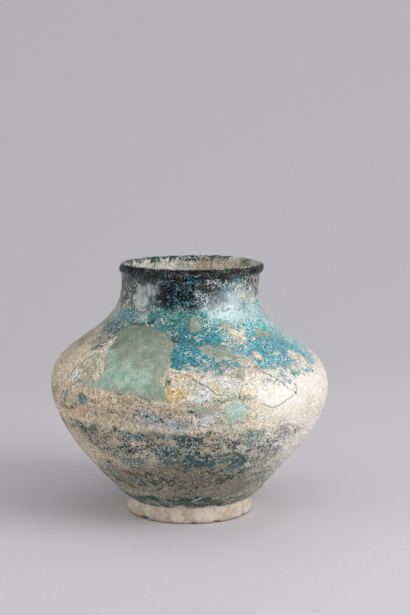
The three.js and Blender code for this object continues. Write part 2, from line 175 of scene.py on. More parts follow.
TINTS = {
    # The worn ground
    "beige": ("#ead2b5", "Worn ground of the left shoulder"),
    "pink_beige": ("#dcc6ae", "Worn ground of the belly"),
    "peach": ("#dbb48e", "Warm worn ground"),
    "greige": ("#cfc8b1", "Ground among the dark specks"),
    "olive": ("#958f79", "Ground of the lower body"),
    "umber": ("#6b6752", "Darkest ground of the lower body"),
    "cream": ("#efe6d3", "Ground under the turquoise glaze"),
    "white": ("#f1ede4", "Chalky ground of the right side"),
    "chalk": ("#f8f5f0", "Palest ground"),
    "green_cream": ("#ccd0b8", "Greenish ground"),
    "green_white": ("#dadccf", "Clouded ground"),
    "mist": ("#bcc3b8", "Clouded ground of the neck"),
    "lilac_white": ("#e1e2e8", "Ground with a lilac bloom"),
    "blue_grey": ("#a8bac4", "Ground with a blue bloom"),
    "ochre": ("#e0c181", "Iron-stained ground"),
    "rust": ("#b48a62", "Ground stained brown"),
    "bare_clay": ("#d3bfa7", "Bare clay above the foot"),
    # The glaze
    "turquoise": ("#25818f", "Turquoise glaze"),
    "strong_turquoise": ("#1a6f7c", "Thick turquoise glaze of the front"),
    "blue": ("#157d8f", "Bluer turquoise glaze"),
    "bright_blue": ("#1593aa", "Bluest glaze"),
    "pale_turquoise": ("#6bb4c0", "Clouded turquoise glaze"),
    "teal": ("#2f7678", "Teal glaze under the neck"),
    "sea_green": ("#7f9f90", "Clouded green glaze"),
    "green_teal": ("#4a7770", "Blot of green glaze"),
    "dark_teal": ("#336069", "Thick glaze of the left shoulder"),
    "deep_teal": ("#0a4a50", "Pooled glaze of the lower body"),
    "slate_blue": ("#4d6c78", "Blue-grey flecks"),
    "moss": ("#24423b", "Green-black flecks"),
    "grey_green": ("#4b5751", "Blackened green glaze"),
    "foot_teal": ("#273f37", "Thick roll of glaze over the foot"),
    "charcoal": ("#2a2f34", "Greyed black glaze"),
    "black": ("#0b0d10", "Blackened glaze"),
    "brown_black": ("#141415", "Blackened glaze of the lip"),
    # The film, which on the neck also holds painted reflections, and on the lip a painted highlight
    "lilac_film_and_reflection": ("#b9b6ba", "Grey film on the neck"),
    "blue_film_and_reflection": ("#cfe0e5", "Blue-white film under the neck"),
    # Also the painted highlight along the lip's crown
    "pale_film_and_highlight": ("#cdd3d0", "Pale film"),
    # The fills
    "plaster_dark": ("#75836f", "Top of the large fill"),
    "plaster_grey": ("#8c9884", "Upper part of the large fill"),
    "plaster_mint": ("#9dbaa9", "Lower part of the large fill"),
    "plaster_pale": ("#98a392", "Small fills"),
    "plaster_cream": ("#bfcdb6", "Edge of the fill at the belly seam"),
    "plaster_turquoise": ("#b2ccc0", "Fill at the belly seam"),
    # The inside of the neck
    "inner_beige": ("#bcae95", "Stained inside of the neck"),
    "inner_olive": ("#97917a", "Darkest inside of the neck"),
    "inner_green": ("#a9b9a6", "Green streak inside the neck"),
}


class VaseColours(bpy.types.PropertyGroup):
    """Colours of the clay, the glaze, its films and painted reflections, and the fills."""

    __annotations__ = {
        tint: bpy.props.FloatVectorProperty(
            name=tint.replace("_", " ").capitalize(), description=description,
            default=linear(colour)[:3], subtype="COLOR", size=3,
        )
        for tint, (colour, description) in TINTS.items()
    }


class VaseStage(bpy.types.PropertyGroup):
    """Floor, lights and camera."""

    paper: bpy.props.FloatVectorProperty(
        name="Paper", description="Colour of the floor and backdrop",
        default=linear("#d9d7dc")[:3], subtype="COLOR", size=3,
    )
    key_power: bpy.props.FloatProperty(
        name="Key power", description="Power of the soft light at the right", default=11.0, unit="POWER",
    )
    fill_power: bpy.props.FloatProperty(
        name="Fill power", description="Power of the soft light at the left", default=2.5, unit="POWER",
    )
    room_light: bpy.props.FloatProperty(
        name="Room light", description="Strength of the even light all round", default=0.58,
    )
    lens: bpy.props.FloatProperty(
        name="Lens", description="Focal length of the camera", default=86.86, unit="CAMERA",
    )


# The thrown wall

# Shape of the two long curves, as shares of the width or rise that each handle reaches along.
LOWER_LEAN_OUT = 0.609
LOWER_LEAN_UP = 0.417
LOWER_FULLNESS = 0.283
SHOULDER_FULLNESS = 0.482
NECK_FULLNESS = 0.53
# Turns above the horizontal where the rolled lip leaves the neck and meets the inner wall.
LIP_START = math.radians(-60)
LIP_END = math.radians(200)
CURVE_STEPS = 400  # points along each curve of the profile

# How far the section's middle strays to the right of the axis, by height in mm: thrown by hand.
STRAY_HEIGHTS = (0, 12, 40, 65, 82, 112, 130, 143, 155)
STRAY_RIGHT = (0, 0, -0.4, 0.5, -0.2, -1.9, -0.6, 0.3, 1.4)


class Wall:
    """The thrown wall: its outer profile by height, and points on and inside it."""

    def __init__(self, shape):
        self.shape = shape
        self.lip_radius = shape.rim_radius - shape.lip_radius
        self.lip_height = shape.rim_height - shape.lip_radius
        join = self.lip_point(LIP_START)
        foot = (shape.foot_radius + shape.foot_ledge, shape.body_bottom)
        belly = (shape.belly_radius, shape.belly_height)
        waist = (shape.waist_radius, shape.waist_height)
        rise = belly[1] - foot[1]
        shoulder = waist[1] - belly[1]
        flare = join[1] - waist[1]
        curves = (
            (
                foot,
                (foot[0] + LOWER_LEAN_OUT * (belly[0] - foot[0]), foot[1] + LOWER_LEAN_UP * rise),
                (belly[0], belly[1] - LOWER_FULLNESS * rise),
                belly,
            ),
            (
                belly,
                (belly[0], belly[1] + SHOULDER_FULLNESS * shoulder),
                (waist[0], waist[1] - NECK_FULLNESS * shoulder),
                waist,
            ),
            (
                waist,
                (waist[0], waist[1] + flare / 3),
                (waist[0] + (join[0] - waist[0]) / 3, waist[1] + flare * 2 / 3),
                join,
            ),
        )
        points = []
        for curve in curves:
            points += interpolate_bezier(*(Vector(p) for p in curve), CURVE_STEPS)[:-1]
        points = np.array(points + [Vector(join)])
        self.radii = points[:, 0]
        self.heights = points[:, 1]
        self.slopes = np.gradient(self.radii, self.heights)
        steps = np.hypot(np.diff(self.radii), np.diff(self.heights))
        self.lengths = np.concatenate([[0], np.cumsum(steps)])
        self.join_height = join[1]

    def lip_point(self, turn):
        """Radius and height of a point of the rolled lip, at a turn above the horizontal."""
        lip = self.shape.lip_radius
        return self.lip_radius + lip * np.cos(turn), self.lip_height + lip * np.sin(turn)

    def radius(self, height):
        """Radius of the profile at a height."""
        return np.interp(height, self.heights, self.radii)

    def length(self, height):
        """Distance along the profile from the foot to a height."""
        return np.interp(height, self.heights, self.lengths)

    def height_at(self, length):
        """Height at a distance along the profile from the foot."""
        return np.interp(length, self.lengths, self.heights)

    def square(self, height):
        """The outward direction at a height, as its radial and its upward part."""
        slope = np.interp(height, self.heights, self.slopes)
        size = np.hypot(1, slope)
        return 1 / size, -slope / size

    def outer(self, height, lift=0.0):
        """Radius and height of outer points, lifted off the profile."""
        out, up = self.square(height)
        return self.radius(height) + lift * out, height + lift * up

    def inner(self, height):
        """Radius and height of the inner wall's points, square behind outer ones."""
        radius, height = self.outer(height, -self.shape.wall)
        return radius, np.maximum(height, self.shape.body_bottom + self.shape.floor)


def stray(height):
    """How far the crooked axis of the hand-thrown pot lies to the right at a height."""
    return np.interp(height / MM, STRAY_HEIGHTS, STRAY_RIGHT) * MM


def turned(angle, radius, height):
    """Points at an angle about the crooked axis."""
    parts = radius * np.sin(angle) + stray(height), -radius * np.cos(angle), height
    return np.stack(np.broadcast_arrays(*parts), -1)


# Noise

NOISE_SEED = 3  # which of many courses the wobble and the ragged edges take


def noise_at(points, grain, octaves=1):
    """Smooth noise from about -1 to 1 at points, with a grain size in metres."""
    flat = [noise.fractal(Vector(p), 1.0, 2.0, octaves) for p in points.reshape(-1, 3) / grain]
    return np.array(flat).reshape(points.shape[:-1])


def stray_at(points, grain, far):
    """Smooth sideways shifts of points, with a grain size and a reach in metres."""
    return far * np.array([noise.noise_vector(Vector(p)) for p in points / grain])


# The painted layers: what time has left where


class Patch(NamedTuple):
    """A soft-edged patch: its middle in degrees and mm, its half sizes in mm, its amount and tint."""

    angle: float
    height: float
    wide: float
    tall: float
    amount: float
    tint: str = ""


class Coat(NamedTuple):
    """The layers of a glazed face. Each patch of a layer lies over those before it. Specks have no tint."""

    ground: tuple
    glaze: tuple
    film_and_reflection: tuple
    specks: tuple


ALL_ROUND = 400.0  # a half width that runs round the whole vase

GROUND = (
    # The lower body
    Patch(0, 26, ALL_ROUND, 22, 1, "olive"),
    Patch(0, 55, ALL_ROUND, 14, 1, "greige"),
    Patch(0, 8, ALL_ROUND, 4, 1, "bare_clay"),
    Patch(3, 40, 26, 13, 0.65, "umber"),
    Patch(-66, 45, 22, 20, 0.7, "beige"),
    Patch(-47, 55, 17, 9, 0.8, "pink_beige"),
    Patch(-24, 55, 20, 5, 0.75, "cream"),
    Patch(5, 60, 9, 4, 0.5, "pink_beige"),
    Patch(28, 56, 20, 8, 0.85, "white"),
    Patch(42, 62, 16, 9, 0.7, "cream"),
    Patch(64, 46, 26, 24, 1, "green_white"),
    Patch(38, 42, 14, 12, 0.8, "green_white"),
    Patch(92, 50, 24, 26, 0.9, "green_white"),
    # Palest ground, made paler here partly as painted light, where the key light falls on the lower right
    Patch(58, 61, 30, 16, 1, "chalk"),
    # Painted shade along the left contour, which faces away from the key light
    Patch(-82, 56, 19, 24, 0.75, "olive"),
    # The belly
    Patch(0, 76, ALL_ROUND, 9, 1, "pink_beige"),
    Patch(18, 77, 26, 8, 0.75, "green_white"),
    Patch(-66, 69, 14, 12, 0.6, "beige"),
    Patch(-49, 73, 12, 4, 0.6, "peach"),
    Patch(-59, 69, 9, 6, 0.7, "peach"),
    # Painted shade along the left contour, which faces away from the key light
    Patch(-84, 76, 20, 9, 0.6, "olive"),
    Patch(-14, 74, 9, 5, 0.9, "blue_grey"),
    Patch(-3, 71, 9, 3.5, 0.9, "blue_grey"),
    Patch(6, 74, 8, 6, 0.8, "lilac_white"),
    Patch(15, 72, 8, 5, 0.8, "green_cream"),
    Patch(-4.5, 77, 6, 3, 0.6, "mist"),
    Patch(-7, 81, 7, 2, 0.5, "rust"),
    Patch(7, 79.5, 5, 2, 0.4, "rust"),
    Patch(16, 76, 9, 4, 0.5, "mist"),
    Patch(24.5, 78, 2.6, 5, 0.8, "ochre"),
    Patch(21.5, 69, 2.6, 5, 0.9, "green_cream"),
    # The shoulder
    Patch(0, 95, ALL_ROUND, 11, 1, "pink_beige"),
    Patch(14, 91, 24, 9, 0.8, "green_white"),
    Patch(0, 115, ALL_ROUND, 12, 1, "cream"),
    Patch(-80, 98, 32, 18, 1, "beige"),
    # Painted shade along the left contour, which faces away from the key light
    Patch(-84, 96, 22, 22, 0.6, "olive"),
    Patch(0, 129, ALL_ROUND, 6, 1, "green_white"),
    # The neck
    Patch(0, 144, ALL_ROUND, 10, 1, "mist"),
    Patch(62, 141, 18, 9, 0.9, "chalk"),
    Patch(-70, 142, 16, 9, 0.9, "green_white"),
    Patch(-6, 141, 20, 10, 1, "dark_teal"),
    Patch(19, 143, 12, 8, 0.9, "blue_grey"),
    # Details of the shoulder, over the whole width
    Patch(54, 84, 46, 25, 1, "white"),
    Patch(90, 88, 26, 27, 1, "white"),
    Patch(37, 87, 13, 8, 1, "chalk"),
    Patch(-48, 96, 13, 9, 0.8, "green_cream"),
    Patch(-54, 93.5, 5, 4, 1, "chalk"),
    Patch(-48.5, 96.5, 4.5, 3.5, 0.8, "ochre"),
    Patch(-40.5, 97, 3, 5, 0.9, "cream"),
    Patch(-28, 85, 16, 2.2, 0.45, "rust"),
    Patch(-16, 84, 22, 2.6, 0.75, "olive"),
    Patch(-2, 101, 14, 4, 1, "cream"),
    Patch(-11.5, 88, 4, 5, 0.8, "green_cream"),
    Patch(-4.5, 90.5, 7, 6.5, 1, "ochre"),
    Patch(-3, 95, 5, 2, 0.8, "cream"),
    Patch(0, 98, 8, 3, 0.5, "pink_beige"),
    Patch(5, 88, 7, 5, 1, "lilac_white"),
    Patch(13, 95, 11, 5, 0.8, "lilac_white"),
    Patch(16, 88, 8, 4, 0.8, "green_cream"),
    Patch(1, 93, 9, 3.5, 0.6, "mist"),
    Patch(10.5, 91, 3, 2.6, 0.8, "ochre"),
    Patch(22, 86, 6, 3, 0.5, "ochre"),
    Patch(24, 92, 3, 5, 0.9, "cream"),
    Patch(62, 103, 6, 4, 1, "cream"),
    Patch(56, 76, 5, 8, 0.5, "green_cream"),
    Patch(49, 87, 3, 4, 0.6, "green_cream"),
    Patch(30, 80, 3, 3, 0.4, "ochre"),
    # The hidden side
    Patch(185, 88, 44, 13, 0.9, "white"),
    Patch(150, 92, 12, 7, 0.7, "ochre"),
    Patch(222, 92, 14, 8, 0.8, "lilac_white"),
    Patch(240, 76, 22, 7, 0.6, "peach"),
    Patch(165, 74, 22, 6, 0.8, "blue_grey"),
    Patch(205, 100, 10, 4, 0.5, "ochre"),
    Patch(190, 58, 30, 8, 0.7, "pink_beige"),
)

GLAZE = (
    # The lower body
    Patch(0, 14.5, ALL_ROUND, 3.6, 0.84, "foot_teal"),
    Patch(-8, 14.6, 28, 4.2, 1, "foot_teal"),
    Patch(66, 16, 22, 5, 0.4, "foot_teal"),
    Patch(0, 27, ALL_ROUND, 8, 0.2, "moss"),
    Patch(-46, 35, 11, 5, 0.44, "green_teal"),
    Patch(-31, 29, 5, 2, 0.5, "slate_blue"),
    Patch(34, 28, 14, 7, 0.4, "grey_green"),
    Patch(8, 21, 28, 4, 0.42, "moss"),
    Patch(-3, 43, 23, 4, 0.6, "moss"),
    Patch(0, 55, ALL_ROUND, 11, 0.22, "moss"),
    Patch(70, 52, 34, 30, 0.06, "moss"),
    Patch(-66, 48, 18, 14, 0.12, "moss"),
    Patch(-27, 55, 11, 3.4, 0.14, "moss"),
    Patch(24, 55, 12, 3, 0.2, "moss"),
    Patch(-47, 63, 13, 5, 0.62, "moss"),
    Patch(-45, 57, 9, 4, 0.5, "moss"),
    Patch(-30, 66, 4, 3, 0.6, "moss"),
    Patch(-32, 62, 9, 4, 0.42, "moss"),
    Patch(-23, 63, 8, 4, 0.62, "slate_blue"),
    Patch(-4, 65, 8, 3, 0.68, "slate_blue"),
    Patch(0, 61.5, 9, 5, 0.74, "moss"),
    Patch(-13, 63, 6, 4, 0.5, "moss"),
    Patch(13, 62, 7, 3, 0.4, "moss"),
    Patch(26, 61, 10, 4.5, 0.52, "green_teal"),
    Patch(40, 62, 10, 4, 0.38, "moss"),
    Patch(37, 54.5, 9, 4, 0.48, "moss"),
    Patch(-27, 45.5, 13, 4.4, 0.54, "grey_green"),
    Patch(-9, 52.5, 8, 4, 0.78, "deep_teal"),
    Patch(1, 54, 4, 4.5, 0.7, "deep_teal"),
    Patch(-10, 46.5, 7, 3, 0.6, "deep_teal"),
    Patch(4.5, 47.5, 12, 4, 0.96, "deep_teal"),
    Patch(17, 50, 9, 3.6, 0.62, "deep_teal"),
    Patch(24, 44, 7, 7, 0.74, "deep_teal"),
    Patch(38, 48, 12, 6, 0.46, "moss"),
    Patch(50, 34, 18, 8, 0.34, "moss"),
    # The belly
    Patch(-46, 81, 5, 3.6, 0.9, "green_teal"),
    Patch(-58, 79, 8, 4, 0.4, "sea_green"),
    Patch(-66, 84, 8, 3, 0.4, "sea_green"),
    Patch(-4, 71, 8, 3, 0.22, "slate_blue"),
    Patch(16, 84, 20, 9, 0.24, "green_teal"),
    Patch(4, 83, 9, 1.6, 0.44, "moss"),
    Patch(15, 86.5, 9, 1.8, 0.42, "moss"),
    # The shoulder
    Patch(-78, 120, 22, 5, 0.5, "slate_blue"),
    Patch(-58, 118, 15, 6, 0.74, "dark_teal"),
    Patch(-57, 111, 11, 5, 0.5, "moss"),
    Patch(-77, 110, 16, 7, 0.4, "grey_green"),
    Patch(-43, 98.5, 4, 4, 0.42, "moss"),
    Patch(-70, 128, 26, 6, 0.66, "sea_green"),
    Patch(-50, 128, 8, 4, 0.55, "teal"),
    Patch(-56, 126.5, 9, 3.4, 0.66, "turquoise"),
    Patch(-14, 129, 20, 6, 0.95, "strong_turquoise"),
    Patch(-1, 131, 6, 3, 0.84, "turquoise"),
    Patch(-14, 122, 26, 5, 1, "teal"),
    Patch(-22, 125, 9, 2.4, 0.8, "blue"),
    Patch(-30, 123.2, 16, 1.3, 0.86, "moss"),
    Patch(1, 115, 17, 9, 0.92, "strong_turquoise"),
    Patch(4, 107, 15, 6, 0.82, "blue"),
    Patch(-4, 106, 8, 4.2, 0.9, "blue"),
    Patch(17, 117, 10, 8, 0.86, "turquoise"),
    Patch(52, 120, 26, 6, 0.7, "pale_turquoise"),
    Patch(72, 110, 18, 16, 0.82, "pale_turquoise"),
    Patch(90, 112, 22, 13, 0.7, "pale_turquoise"),
    Patch(50, 109, 31, 7.5, 0.76, "bright_blue"),
    Patch(30, 129, 18, 5, 0.8, "pale_turquoise"),
    Patch(62, 130, 20, 5, 0.66, "pale_turquoise"),
    Patch(4, 101, 9, 4, 0.54, "blue"),
    Patch(-9.5, 112, 1.8, 7, 0.8, "moss"),
    Patch(-9, 98, 1.8, 7, 0.5, "moss"),
    Patch(18, 102.5, 14, 4, 0.56, "blue"),
    Patch(45, 101, 26, 4, 0.56, "bright_blue"),
    Patch(54, 95, 28, 4.4, 0.42, "turquoise"),
    Patch(24, 120.5, 2.6, 1.7, 0, "turquoise"),
    Patch(31, 120.5, 3.6, 1.4, 0.05, "turquoise"),
    Patch(31.5, 116.5, 4.2, 1.9, 0.05, "turquoise"),
    Patch(33, 112, 2.8, 1.9, 0.1, "turquoise"),
    Patch(39, 118.5, 3.4, 1.2, 0.15, "turquoise"),
    Patch(42, 112.5, 2.4, 1.3, 0.15, "turquoise"),
    Patch(22, 114, 2.2, 1.2, 0.2, "turquoise"),
    Patch(37, 106, 3.2, 1.6, 0.15, "turquoise"),
    Patch(49, 105, 3.2, 1.5, 0.2, "turquoise"),
    Patch(-2, 99, 9, 2, 0.1, "turquoise"),
    Patch(63, 102, 6, 4, 0.14, "turquoise"),
    # The neck
    Patch(0, 143, ALL_ROUND, 9.5, 0.6, "moss"),
    Patch(0, 149.5, ALL_ROUND, 2.6, 0.86, "charcoal"),
    Patch(-13, 140, 17, 11, 1.1, "black"),
    Patch(3, 142, 8, 9, 1.1, "black"),
    Patch(-13, 127.4, 18, 3.8, 1, "teal"),
    Patch(-64, 136, 12, 6, 0.84, "moss"),
    Patch(-43, 147, 9, 4, 0.86, "charcoal"),
    Patch(21, 142, 11, 9, 0.74, "charcoal"),
    Patch(14, 137, 5, 5, 0.7, "slate_blue"),
    Patch(42, 141, 11, 7, 0.46, "turquoise"),
    Patch(51, 134, 8, 3, 0.6, "turquoise"),
    Patch(62, 142, 14, 8, 0.5, "charcoal"),
    Patch(-72, 142, 15, 9, 0.62, "moss"),
    Patch(0, 154.5, ALL_ROUND, 5, 1.6, "brown_black"),
    # The hidden side
    Patch(180, 112, 70, 11, 0.72, "turquoise"),
    Patch(150, 105, 16, 4, 0.8, "blue"),
    Patch(205, 118, 24, 6, 0.76, "blue"),
    Patch(236, 108, 16, 8, 0.68, "dark_teal"),
    Patch(120, 103, 16, 5, 0.4, "turquoise"),
    Patch(170, 118, 6, 3, 0.2, "turquoise"),
    Patch(190, 102, 14, 3, 0.42, "turquoise"),
    Patch(112, 124, 26, 7, 0.66, "teal"),
    Patch(104, 113, 20, 7, 0.6, "pale_turquoise"),
    Patch(255, 126, 22, 6, 0.66, "sea_green"),
    Patch(180, 128, 40, 6, 0.78, "teal"),
    Patch(165, 50, 10, 3.6, 0.78, "deep_teal"),
    Patch(186, 46, 8, 3.2, 0.74, "deep_teal"),
    Patch(225, 50, 12, 5, 0.64, "deep_teal"),
    Patch(140, 63, 16, 5, 0.5, "moss"),
    Patch(205, 64, 18, 5, 0.5, "moss"),
    Patch(178, 142, 26, 10, 0.95, "black"),
    Patch(225, 143, 12, 8, 0.75, "charcoal"),
)

# The pale film that lies over the glaze where it has corroded. On the neck, the grey patches at the left
# and the blue-white ones at the right are partly film and partly painted reflections of the lights.
FILM_AND_REFLECTION = (
    # Partly film, partly a painted reflection of a light on the neck's left
    Patch(-41, 137, 7.5, 3.4, 1.7, "lilac_film_and_reflection"),
    Patch(-37.5, 142, 7, 3, 1.2, "lilac_film_and_reflection"),
    Patch(-36.5, 128.5, 4, 2.6, 1.4, "lilac_film_and_reflection"),
    # Partly film, partly painted reflections of the lights on the neck's right
    Patch(13, 130, 4, 2.6, 0.5, "blue_film_and_reflection"),
    Patch(34, 129.5, 14, 4.6, 1.05, "blue_film_and_reflection"),
    Patch(37, 129, 8, 4, 1.5, "blue_film_and_reflection"),
    Patch(40.5, 138, 8, 5, 0.85, "blue_film_and_reflection"),
    Patch(25, 137, 6, 4, 0.35, "blue_film_and_reflection"),
    Patch(56, 127, 14, 5, 0.5, "blue_film_and_reflection"),
    Patch(54, 138, 10, 4, 0.5, "blue_film_and_reflection"),
    Patch(82, 112, 16, 16, 0.4, "pale_film_and_highlight"),
    Patch(200, 131, 16, 6, 0.75, "blue_film_and_reflection"),
    Patch(150, 138, 7, 7, 0.85, "lilac_film_and_reflection"),
)

# How thick the dark specks lie
SPECKS = (
    Patch(0, 33, ALL_ROUND, 15, 0.66),
    Patch(0, 57, ALL_ROUND, 12, 0.7),
    Patch(-66, 48, 18, 14, 0.4),
    Patch(0, 77, ALL_ROUND, 8, 0.59),
    Patch(0, 97, ALL_ROUND, 13, 0.44),
    Patch(0, 117, ALL_ROUND, 15, 0.5),
    Patch(0, 142, ALL_ROUND, 9, 0.7),
    Patch(54, 82, 54, 15, 0.05),
    Patch(70, 56, 32, 28, 0.3),
    Patch(-78, 98, 30, 15, 0.3),
    Patch(-48, 96, 13, 9, 0.55),
    Patch(-62, 80, 16, 7, 0.62),
    Patch(20, 86, 14, 3, 0.55),
    Patch(0, 9, ALL_ROUND, 5, 0.1),
)

OUTER_COAT = Coat(GROUND, GLAZE, FILM_AND_REFLECTION, SPECKS)

# The inside of the neck: pale at the left, with a painted highlight at the back-left, stained at the
# right, black over the lip's crown, which is worn pale at the front, with a painted highlight along it.
INNER_COAT = Coat(
    ground=(
        Patch(0, 145, ALL_ROUND, 20, 1, "green_white"),
        # Painted highlight: the palest part of the inside, at the back-left, where the key light falls
        Patch(200, 146, 8, 12, 1, "chalk"),
        Patch(188, 146, 2.2, 12, 0.9, "inner_green"),
        Patch(165, 146, 14, 14, 1, "inner_beige"),
        Patch(138, 146, 6, 12, 0.7, "green_cream"),
        Patch(118, 146, 10, 14, 1, "inner_olive"),
        Patch(40, 146, 50, 14, 0.7, "inner_beige"),
    ),
    glaze=(
        Patch(0, 157.8, ALL_ROUND, 4.8, 0.87, "brown_black"),
        Patch(201, 157.8, 13, 7.6, 0.84, "brown_black"),
        Patch(100, 154, 14, 3, 0.5, "inner_olive"),
    ),
    film_and_reflection=(
        # A pale line along the lip's crown at the front: partly wear, partly a painted highlight
        Patch(0, 155.2, 60, 0.5, 0.7, "pale_film_and_highlight"),
    ),
    specks=(
        Patch(0, 150, ALL_ROUND, 14, 0.3),
        Patch(180, 154, 40, 2, 0.6),
    ),
)

# The toning of the plaster
TONING = (
    Patch(-28, 114, 32, 11, 1, "plaster_grey"),
    Patch(-27, 122, 26, 5, 0.9, "plaster_dark"),
    Patch(-46, 113, 7, 9, 0.8, "plaster_dark"),
    Patch(-28, 95, 34, 8.5, 1, "plaster_mint"),
    Patch(-42, 105, 8, 3, 0.8, "plaster_mint"),
    Patch(-26, 87, 18, 3.5, 0.8, "plaster_grey"),
    Patch(-12, 95, 6, 11, 0.7, "plaster_grey"),
    Patch(19, 79, 8, 7, 1, "plaster_turquoise"),
    Patch(14, 80, 3, 6, 0.85, "plaster_cream"),
    Patch(18, 85.5, 7, 2, 0.8, "plaster_cream"),
)

# Breaks that stand open as dark hairlines, as degrees from the front and heights in mm
OPEN_BREAKS = (
    ((-6.5, 100), (1, 98.5), (6, 94), (10.5, 89.1), (12.5, 88.3)),
    ((31, 101), (38.5, 94), (43, 88.8), (47, 84.2)),
    ((47, 84.2), (49, 88.5), (46.5, 93.5)),
    ((29, 81.3), (34, 78.9), (42, 81.2), (47, 84.2)),
    ((20, 85.5), (22, 92)),
    ((-33, 87.3), (-24, 86.6), (-10, 83.6), (-1, 81.8)),
    ((-47, 130), (-38.5, 129), (-32.5, 130.5)),
    ((-38.5, 129), (-40, 124.5), (-38, 122)),
    ((-58, 87), (-50, 91)),
    ((-58.5, 92.5), (-56, 99), (-51.5, 105)),
    ((150, 81), (146, 98), (153, 115)),
    ((200, 84), (235, 83)),
)
OPEN_WITHIN = 2.0  # how near an open break an edge is open too, in mm
CLOSED_STAIN = 0.12  # how dirty a closed edge is
GROOVE = 0.12 * MM  # depth of an open break
STAIN_WIDTH = 0.4 * MM  # how far dirt and wear spread from an edge

WARPS = ((9 * MM, 3.0 * MM), (3.2 * MM, 1.6 * MM))  # grain and reach of the patches' ragged edges


class Places:
    """Points of the outer wall with what the layers need to know of them."""

    def __init__(self, wall, angle, height):
        self.wall = wall
        self.angle = angle
        self.height = height
        self.points = turned(angle, wall.radius(height), height)
        self.bearing = np.arctan2(self.points[:, 0], -self.points[:, 1])
        self.round_mm = wall.radius(height) / MM
        self.warp = sum(stray_at(self.points, grain, far) for grain, far in WARPS) / MM

    def turn_from(self, degrees):
        """Angle from a bearing round the vase, the short way."""
        return (self.bearing - math.radians(degrees) + math.pi) % TURN - math.pi

    def nearness(self, patch):
        """How much a patch counts at each place, from 0 to 1."""
        across = (self.turn_from(patch.angle) * self.round_mm + self.warp[:, 0]) / patch.wide
        up = (self.height / MM + self.warp[:, 2] - patch.height) / patch.tall
        return np.exp(-((across**2 + up**2) ** 2))

    def amount(self, patches):
        """A layer's amount at each place."""
        value = np.zeros(len(self.angle))
        for patch in patches:
            value += (patch.amount - value) * self.nearness(patch)
        return value

    def tint(self, patches, base, by_amount=False):
        """A layer's colour at each place. A patch is opaque, or as opaque as its amount says."""
        colours = bpy.context.scene.vase_colours
        tint = np.tile(np.array(getattr(colours, base)), (len(self.angle), 1))
        for patch in patches:
            share = self.nearness(patch) * (patch.amount if by_amount else 1)
            tint += (np.array(getattr(colours, patch.tint)) - tint) * share[:, None]
        return np.column_stack([tint, np.ones(len(tint))])

    def openness(self):
        """How near each place is to an open break, from 0 to 1."""
        nearest = np.full(len(self.angle), np.inf)
        for line in OPEN_BREAKS:
            for start, end in zip(line, line[1:]):
                nearest = np.minimum(nearest, self.distance(start, end))
        return np.exp(-((nearest / OPEN_WITHIN) ** 2))

    def distance(self, start, end):
        """Distance in mm from each place to a straight stretch of a break."""
        across = self.turn_from(start[0]) * self.round_mm
        up = self.height / MM - start[1]
        run = math.radians(end[0] - start[0]) * self.round_mm
        rise = end[1] - start[1]
        share = np.clip((across * run + up * rise) / (run**2 + rise**2), 0, 1)
        return np.hypot(across - share * run, up - share * rise)

    def wear(self, from_edge):
        """How worn and dirty each place is, by its distance from the broken edge, from 0 to 1."""
        near = np.exp(-((from_edge / STAIN_WIDTH) ** 2))
        return near * np.maximum(self.openness(), CLOSED_STAIN)


RETOUCHED = 0.55  # how much retouching hides of each neighbour along the edge of a fill
RETOUCHED_WIDTH = 1.2 * MM


def retouching(places, fill_edges):
    """How much plaster toning has been brushed over each place beside a fill, from 0 to 1."""
    gaps = np.array([fill_edges.find(point)[2] for point in places.points])
    return RETOUCHED * np.exp(-((gaps / RETOUCHED_WIDTH) ** 2))


def coat_layers(places, coat, stain, plaster):
    """Every layer that the weathered coat reads, by name."""
    return {
        "glaze": places.amount(coat.glaze),
        "film_and_reflection": places.amount(coat.film_and_reflection),
        "specks": places.amount(coat.specks),
        "stain": stain,
        "plaster": plaster,
        "ground_tint": places.tint(coat.ground, "beige", True),
        "glaze_tint": places.tint(coat.glaze, "turquoise"),
        "film_and_reflection_tint": places.tint(coat.film_and_reflection, "blue_film_and_reflection"),
        "toning": places.tint(TONING, "plaster_pale", True),
    }


# Relief of the outer surface

# Height and grain of the unevenness of throwing, of its rings and of the pits
WOBBLE = 0.35 * MM
WOBBLE_GRAIN = 45 * MM
RINGS = 0.10 * MM
RING_SPACING = 6.5 * MM
RING_DRIFT = 3  # how far the wobble pushes the rings, in radians
PITS = 0.08 * MM
PIT_GRAIN = 2.4 * MM
# The glaze, and the thick roll in which it stopped above the foot
GLAZE_THICKNESS = 0.15 * MM
GLAZE_ROLL = 0.5 * MM
GLAZE_ROLL_HEIGHT = 16.5 * MM
GLAZE_ROLL_WIDTH = 1.8 * MM


def glaze_relief(places, glaze, wear):
    """How far the glazed wall stands off its profile."""
    wobble = noise_at(places.points, WOBBLE_GRAIN)
    rings = np.sin(places.height / RING_SPACING * TURN + RING_DRIFT * wobble)
    roll = np.exp(-(((places.height - GLAZE_ROLL_HEIGHT) / GLAZE_ROLL_WIDTH) ** 2))
    return (
        WOBBLE * wobble
        + RINGS * rings
        + PITS * noise_at(places.points, PIT_GRAIN, 2)
        + GLAZE_THICKNESS * glaze
        + GLAZE_ROLL * roll
        - GROOVE * wear
    )


# How far the plaster has sunk, and the strokes of the scraper
PLASTER_SINK = 0.05 * MM
PLASTER_STROKES = 0.08 * MM
STROKE_GRAIN = 5 * MM


def plaster_relief(places, wear):
    """How far a fill stands off the profile: scraped nearly level, with faint strokes."""
    return (
        WOBBLE * noise_at(places.points, WOBBLE_GRAIN)
        + PLASTER_STROKES * noise_at(places.points, STROKE_GRAIN, 3)
        - PLASTER_SINK
        - GROOVE * wear
    )


# Building meshes

OUTSIDE, INSIDE, BROKEN = range(3)
MAP_MARGIN = 0.006  # empty border of the texture map, as a share of it
SAME_POINT = 1e-7  # points nearer than this are one point of a piece
SAME_CORNER = 1e-6  # and corners nearer than this are one corner of the frame


class Sheet(NamedTuple):
    """A part of a mesh: faces as rows of point numbers, each corner's place on the map, and its side."""

    faces: np.ndarray
    places: np.ndarray
    side: int


